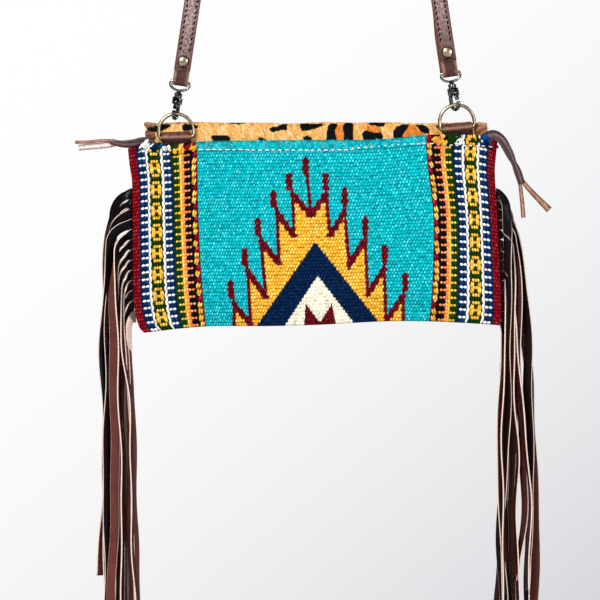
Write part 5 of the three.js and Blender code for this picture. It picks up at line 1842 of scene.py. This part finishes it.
def strap_stitches(points, flat, face):
    """Slanted stitches along both edges of both faces, and a row across each end."""
    inset = STRAP.width / 2 - STITCH.inset
    half = STRAP.thick / 2
    length = np.concatenate([[0], np.cumsum(np.linalg.norm(np.diff(points, axis=0), axis=1))])
    first = STITCH.from_eye - STRAP.start
    start = np.arange(first, length[-1] - STITCH.to_end, STITCH.pitch)

    def here(at, rows):
        return np.stack([np.interp(at, length, rows[:, n]) for n in range(3)], -1)

    starts, ends, outs = [], [], []
    for row in (-1, 1):
        for back in (-1, 1):
            line = points + flat * row * inset + face * back * half
            for found, at, slant in ((starts, start, -1), (ends, start + STITCH.dash, 1)):
                found.append(here(at, line) + here(at, flat) * slant * STITCH.slant)
            outs.append(here(start, face * back))
    cross = np.linspace(-1, 1, STITCH.cross + 1)[:, None] * inset
    cross_at = STITCH.cross_up - STRAP.start
    for at in (cross_at, length[-1] - cross_at):
        middle, side, out = (here(at, rows) for rows in (points, flat, face))
        for back in (-1, 1):
            line = middle + side * cross + out * back * half
            starts.append(line[:-1])
            ends.append(line[1:])
            outs.append(np.tile(out * back, (STITCH.cross, 1)))
    starts, ends, outs = (np.concatenate(rows) for rows in (starts, ends, outs))
    colours = dyed("black", len(starts), STITCH.spread)
    size = (STITCH.rows, STITCH.columns)
    return threads(starts, ends, unit(outs), STITCH.radius, STITCH.lift, colours, *size)


def add_strap(clips):
    points, tangent, turn = strap_stations()
    plane = np.stack([tangent[:, 2], tangent[:, 1], -tangent[:, 0]], 1)
    flat, face = rolled(plane, BACKWARD, turn)
    band = strip(points, flat, face, STRAP.width, STRAP.thick).all_in(0)
    from_end = np.minimum(np.arange(len(points)), np.arange(len(points))[::-1]) * STRAP.step
    end_dusk = STRAP.end_dusk * (1 - smoothstep(from_end, 0, STRAP.dusk_run))
    edge_dusk = STRAP.edge_dusk * smoothstep(np.abs(STRIP_ACROSS), STRAP.edge_from, STRAP.edge_to)
    run_dusk = end_dusk + STRAP.right_dusk * smoothstep(points[:, 0], 0, SIDES["right"]["eye_x"])
    band.attributes["dusk"] = np.clip(np.add.outer(run_dusk, edge_dusk), 0, STRAP.most_dusk).ravel()
    loops = [strap_loop(clip) for clip in clips.values()]
    shape = joined([band, under_layer(clips["right"]), *loops])
    piece("strap_fine", shape, [STRAP_LEATHER, FOLD_LEATHER], ["strap"])
    piece("strap_stitches", strap_stitches(points, flat, face), [WOOL], ["strap"])


def rivet():
    """Domed caps on both faces of the strap, dark round their rims."""
    seat = STRAP.thick / 2 + RIVET.gap
    wide = RIVET.cap_radius
    cap = arc(0, seat + RIVET.edge, wide, RIVET.cap_height, 0, RIVET.sweep, RIVET.steps)
    half = [(RIVET.post_radius, seat), (wide - RIVET.ease, seat), *cap]
    shape = turned([(r, -h) for r, h in half[::-1]] + half)
    radius = np.hypot(shape.points[:, 0], shape.points[:, 1])
    rim = smoothstep(radius, wide - RIVET.rim, wide)
    shape.attributes["wear"] = lerp(RIVET.bright, RIVET.dark, rim)
    return shape.moved(Matrix.Translation((0, 0, RIVET.up)) @ Matrix.Rotation(math.pi / 2, 4, "X"))


# Outlines of turned parts, as (radius, height): the knob under an eye, from its stem up; the two ends of a
# hook's barrel, from its outside; and a lever's thumb knob, as shares of its radius and length.
EYE_KNOB = [(1.0, -1.4), (1.7, -1.0), (1.9, -0.2), (1.3, 0.5), (0.05, 0.7)]
BARREL_FOOT = [(-0.3, 0.0), (0.0, 0.4), (-0.35, 1.0), (0.0, 1.6)]
BARREL_TOP = [(0.0, -1.2), (-0.3, -0.5), (-0.9, 0.0)]
THUMB_KNOB = [(0.8, 0.0), (0.8, 0.6), (1.0, 0.75), (1.0, 0.95)]
POINT = 0.05


def swivel_eye():
    wide, depth, shoulder = EYE.half_bar, EYE.depth, EYE.shoulder
    bow = arc(0, -shoulder, wide, depth - shoulder, 0, -180, EYE.steps)
    path = np.array([(x, 0, z) for x, z in [(wide, 0), *bow, (-wide, 0)]])
    foot, top, flange = EYE.flange_foot, EYE.flange_top, EYE.flange_radius
    stem = turned([
        (POINT, foot), (flange - EYE.ease, foot), (flange, foot + EYE.ease), (flange, top),
        (EYE.stem_radius, top), *[(r, h - depth) for r, h in EYE_KNOB],
    ])
    return joined([wire(path, EYE.wire, BACKWARD, closed=True), stem])


def rounded_block(x, y, z, bevel=0.25):
    """A block between three pairs of faces, with its edges eased."""
    rings = []
    for height, inset in ((z[0], bevel), (z[0] + bevel, 0), (z[1] - bevel, 0), (z[1], bevel)):
        x0, x1, y0, y1 = x[0] + inset, x[1] - inset, y[0] + inset, y[1] - inset
        b = bevel
        rings.append([
            (x0 + b, y0, height), (x1 - b, y0, height), (x1, y0 + b, height), (x1, y1 - b, height),
            (x1 - b, y1, height), (x0 + b, y1, height), (x0, y1 - b, height), (x0, y0 + b, height),
        ])
    return loft(rings)


def bar_across(radius, length, ease=0.1, point=0.02):
    """A round bar with eased ends, lying across the clip."""
    end = length / 2
    half = [(radius, end - ease), (radius - ease, end), (point, end)]
    rod = turned([(r, -h) for r, h in half[::-1]] + half, 20)
    return rod.moved(Matrix.Rotation(math.pi / 2, 4, "Y"))


def snap_hook():
    """Barrel round the eye's stem, a yoke for the lever, and the bent hook below."""
    bend_z = -RING.below_eye - RING.wire - HOOK.seat - HOOK.wire + HOOK.bend
    bend = arc(0, bend_z, HOOK.bend, HOOK.bend, 0, -180, HOOK.steps)
    outline = [
        (HOOK.shank_y, HOOK.shank_top), (HOOK.bend, HOOK.shank_foot), *bend,
        (-HOOK.bend, HOOK.nose_top),
    ]
    path = np.array([(0, y, z) for y, z in outline])
    top, foot, wide = HOOK.barrel_top, HOOK.barrel_foot, HOOK.barrel_radius
    barrel = turned([
        (HOOK.bore_radius, foot), *[(wide + r, foot + h) for r, h in BARREL_FOOT],
        *[(wide + r, top + h) for r, h in BARREL_TOP], (HOOK.bore_radius, top),
    ])
    height = (HOOK.yoke_foot, HOOK.yoke_top)
    ears = [
        rounded_block(faces, (HOOK.ear_front, wide), height)
        for faces in ((-wide, -HOOK.ear_inside), (HOOK.ear_inside, wide))
    ]
    back = rounded_block((-wide, wide), (HOOK.ear_inside, wide), height)
    pin = bar_across(HOOK.pin_radius, 2 * (HOOK.ear_inside + HOOK.pin_sunk))
    pin.points += (0, GATE.pivot_y, GATE.pivot_z)
    return joined([barrel, *ears, back, pin, wire(path, HOOK.wire, SIDEWAYS)])


def hook_gate():
    """Lever that swings inwards on its pin, with a thumb knob outside."""
    tip_y, tip_z = -HOOK.bend, HOOK.nose_top + CLEARANCE
    lean = math.atan2(tip_y - GATE.pivot_y, GATE.pivot_z - tip_z)
    length = (GATE.pivot_z - tip_z) / math.cos(lean) - GATE.bar / 2
    half = GATE.bar_half
    bar = rounded_block((-half, half), (-GATE.bar / 2, GATE.bar / 2), (-length, GATE.bar_top))
    knob_sides = [(GATE.knob_radius * r, GATE.knob * h) for r, h in THUMB_KNOB]
    knob = turned([*knob_sides, (POINT, GATE.knob)], 16)
    knob.moved(Matrix.Rotation(math.pi / 2, 4, "X"))
    knob.points += (0, -GATE.bar / 4, -GATE.knob_at * length)
    outer, inner, end = GATE.boss_radius, GATE.hole, GATE.boss / 2
    boss = turned([(inner, -end), (outer, -end), (outer, end), (inner, end), (inner, -end)], 20)
    boss.moved(Matrix.Rotation(math.pi / 2, 4, "Y"))
    pivot = Matrix.Translation((0, GATE.pivot_y, GATE.pivot_z))
    return joined([bar, knob, boss]).moved(pivot @ Matrix.Rotation(lean, 4, "X"))


def d_ring():
    wide, height, corner = RING.half_width, RING.height, RING.corner
    outline = np.concatenate([
        arc(0, -wide, wide, wide, 180, 0, RING.arch_steps),
        arc(wide - corner, corner - height, corner, corner, 0, -90, RING.corner_steps),
        arc(corner - wide, corner - height, corner, corner, -90, -180, RING.corner_steps),
    ])
    path = np.stack([outline[:, 0], 0 * outline[:, 0], outline[:, 1]], 1)
    return wire(path, RING.wire, BACKWARD, closed=True, sides=RING.sides)


def ring_tab():
    """Leather folded round the ring's bar, both legs going down behind the cloth's hem."""
    middle = RING.wire + CLEARANCE + TAB.layer / 2
    wrap = arc(0, 0, middle, middle, 0, TAB.wrap_to, TAB.wrap_steps)
    route = np.array([
        (middle, TAB.leg_foot), (middle, TAB.back_neck), *wrap, (TAB.front_neck_y, TAB.front_neck),
        (TAB.front_foot_y, TAB.leg_foot),
    ])
    path = np.stack([0 * route[:, 0], route[:, 0], route[:, 1] - RING.height], 1)
    across = np.tile(-SIDEWAYS, (len(path), 1))
    out = np.cross(tangents(path), across)
    shape = strip(path, across, out, TAB.width, TAB.layer).all_in(0)
    # Painted highlight along a crease on the front of the wrap, and painted shade from there down the front
    # leg.
    past_fold = np.arange(len(path)) - (len(path) - TAB.fold_at)
    crease = np.exp(-((past_fold / TAB.crease_run) ** 2)) * TAB.crease
    dusk = TAB.dusk * smoothstep(past_fold, 0, TAB.dusk_run)
    for key, values in dict(wear=crease, dusk=dusk).items():
        shape.attributes[key] = np.repeat(values, len(STRIP_ACROSS))
    return shape


def add_hardware():
    clips = {}
    for name, side in SIDES.items():
        lean, _, _ = strap_run(side)
        eye = Matrix.Translation((side["eye_x"], 0, side["eye_z"]))
        clip = eye @ Matrix.Rotation(-side["sign"] * lean, 4, "Y")
        hook = clip @ Matrix.Rotation(math.radians(side["clip_turn"]), 4, "Z")
        ring_at = (clip @ Matrix.Translation((0, 0, -RING.below_eye))).translation
        ring = Matrix.Translation(ring_at) @ Matrix.Rotation(math.radians(side["ring_tilt"]), 4, "Y")
        clips[name] = clip
        gate = f"hook_gate_{name}"
        parts = [
            (f"strap_rivet_{name}", rivet(), clip, BRASS, "brass", "root"),
            (f"swivel_eye_{name}", swivel_eye(), clip, GUNMETAL, "gunmetal", "root"),
            (f"snap_hook_{name}", snap_hook(), hook, GUNMETAL, "gunmetal", "root"),
            (gate, hook_gate(), hook, GUNMETAL, "gunmetal", f"gate_{name}"),
            (f"d_ring_{name}", d_ring(), ring, BRASS, "brass", "root"),
            (f"ring_tab_{name}", ring_tab(), ring, FOLD_LEATHER, "strap_leather", "root"),
        ]
        for node, shape, matrix, finish, slot, body in parts:
            piece(f"{node}_fine", shape.moved(matrix), [finish], [node], body)
    return clips


bpy.context.scene.view_settings.view_transform = "Standard"
add_camera()
add_lights()
add_stage()
cloth_back, cloth_pieces = add_cloth()
hem = cloth_piece("hem_stitches", hem_stitches())
edge = cloth_piece("hem_edge", hem_roll())
fibres = cloth_piece("hem_fibres", hem_fibres())
tufts = cloth_piece("yarn_tufts", yarn_tufts())
add_hide()
add_zip()
add_laces()
add_fringe()
add_strap(add_hardware())
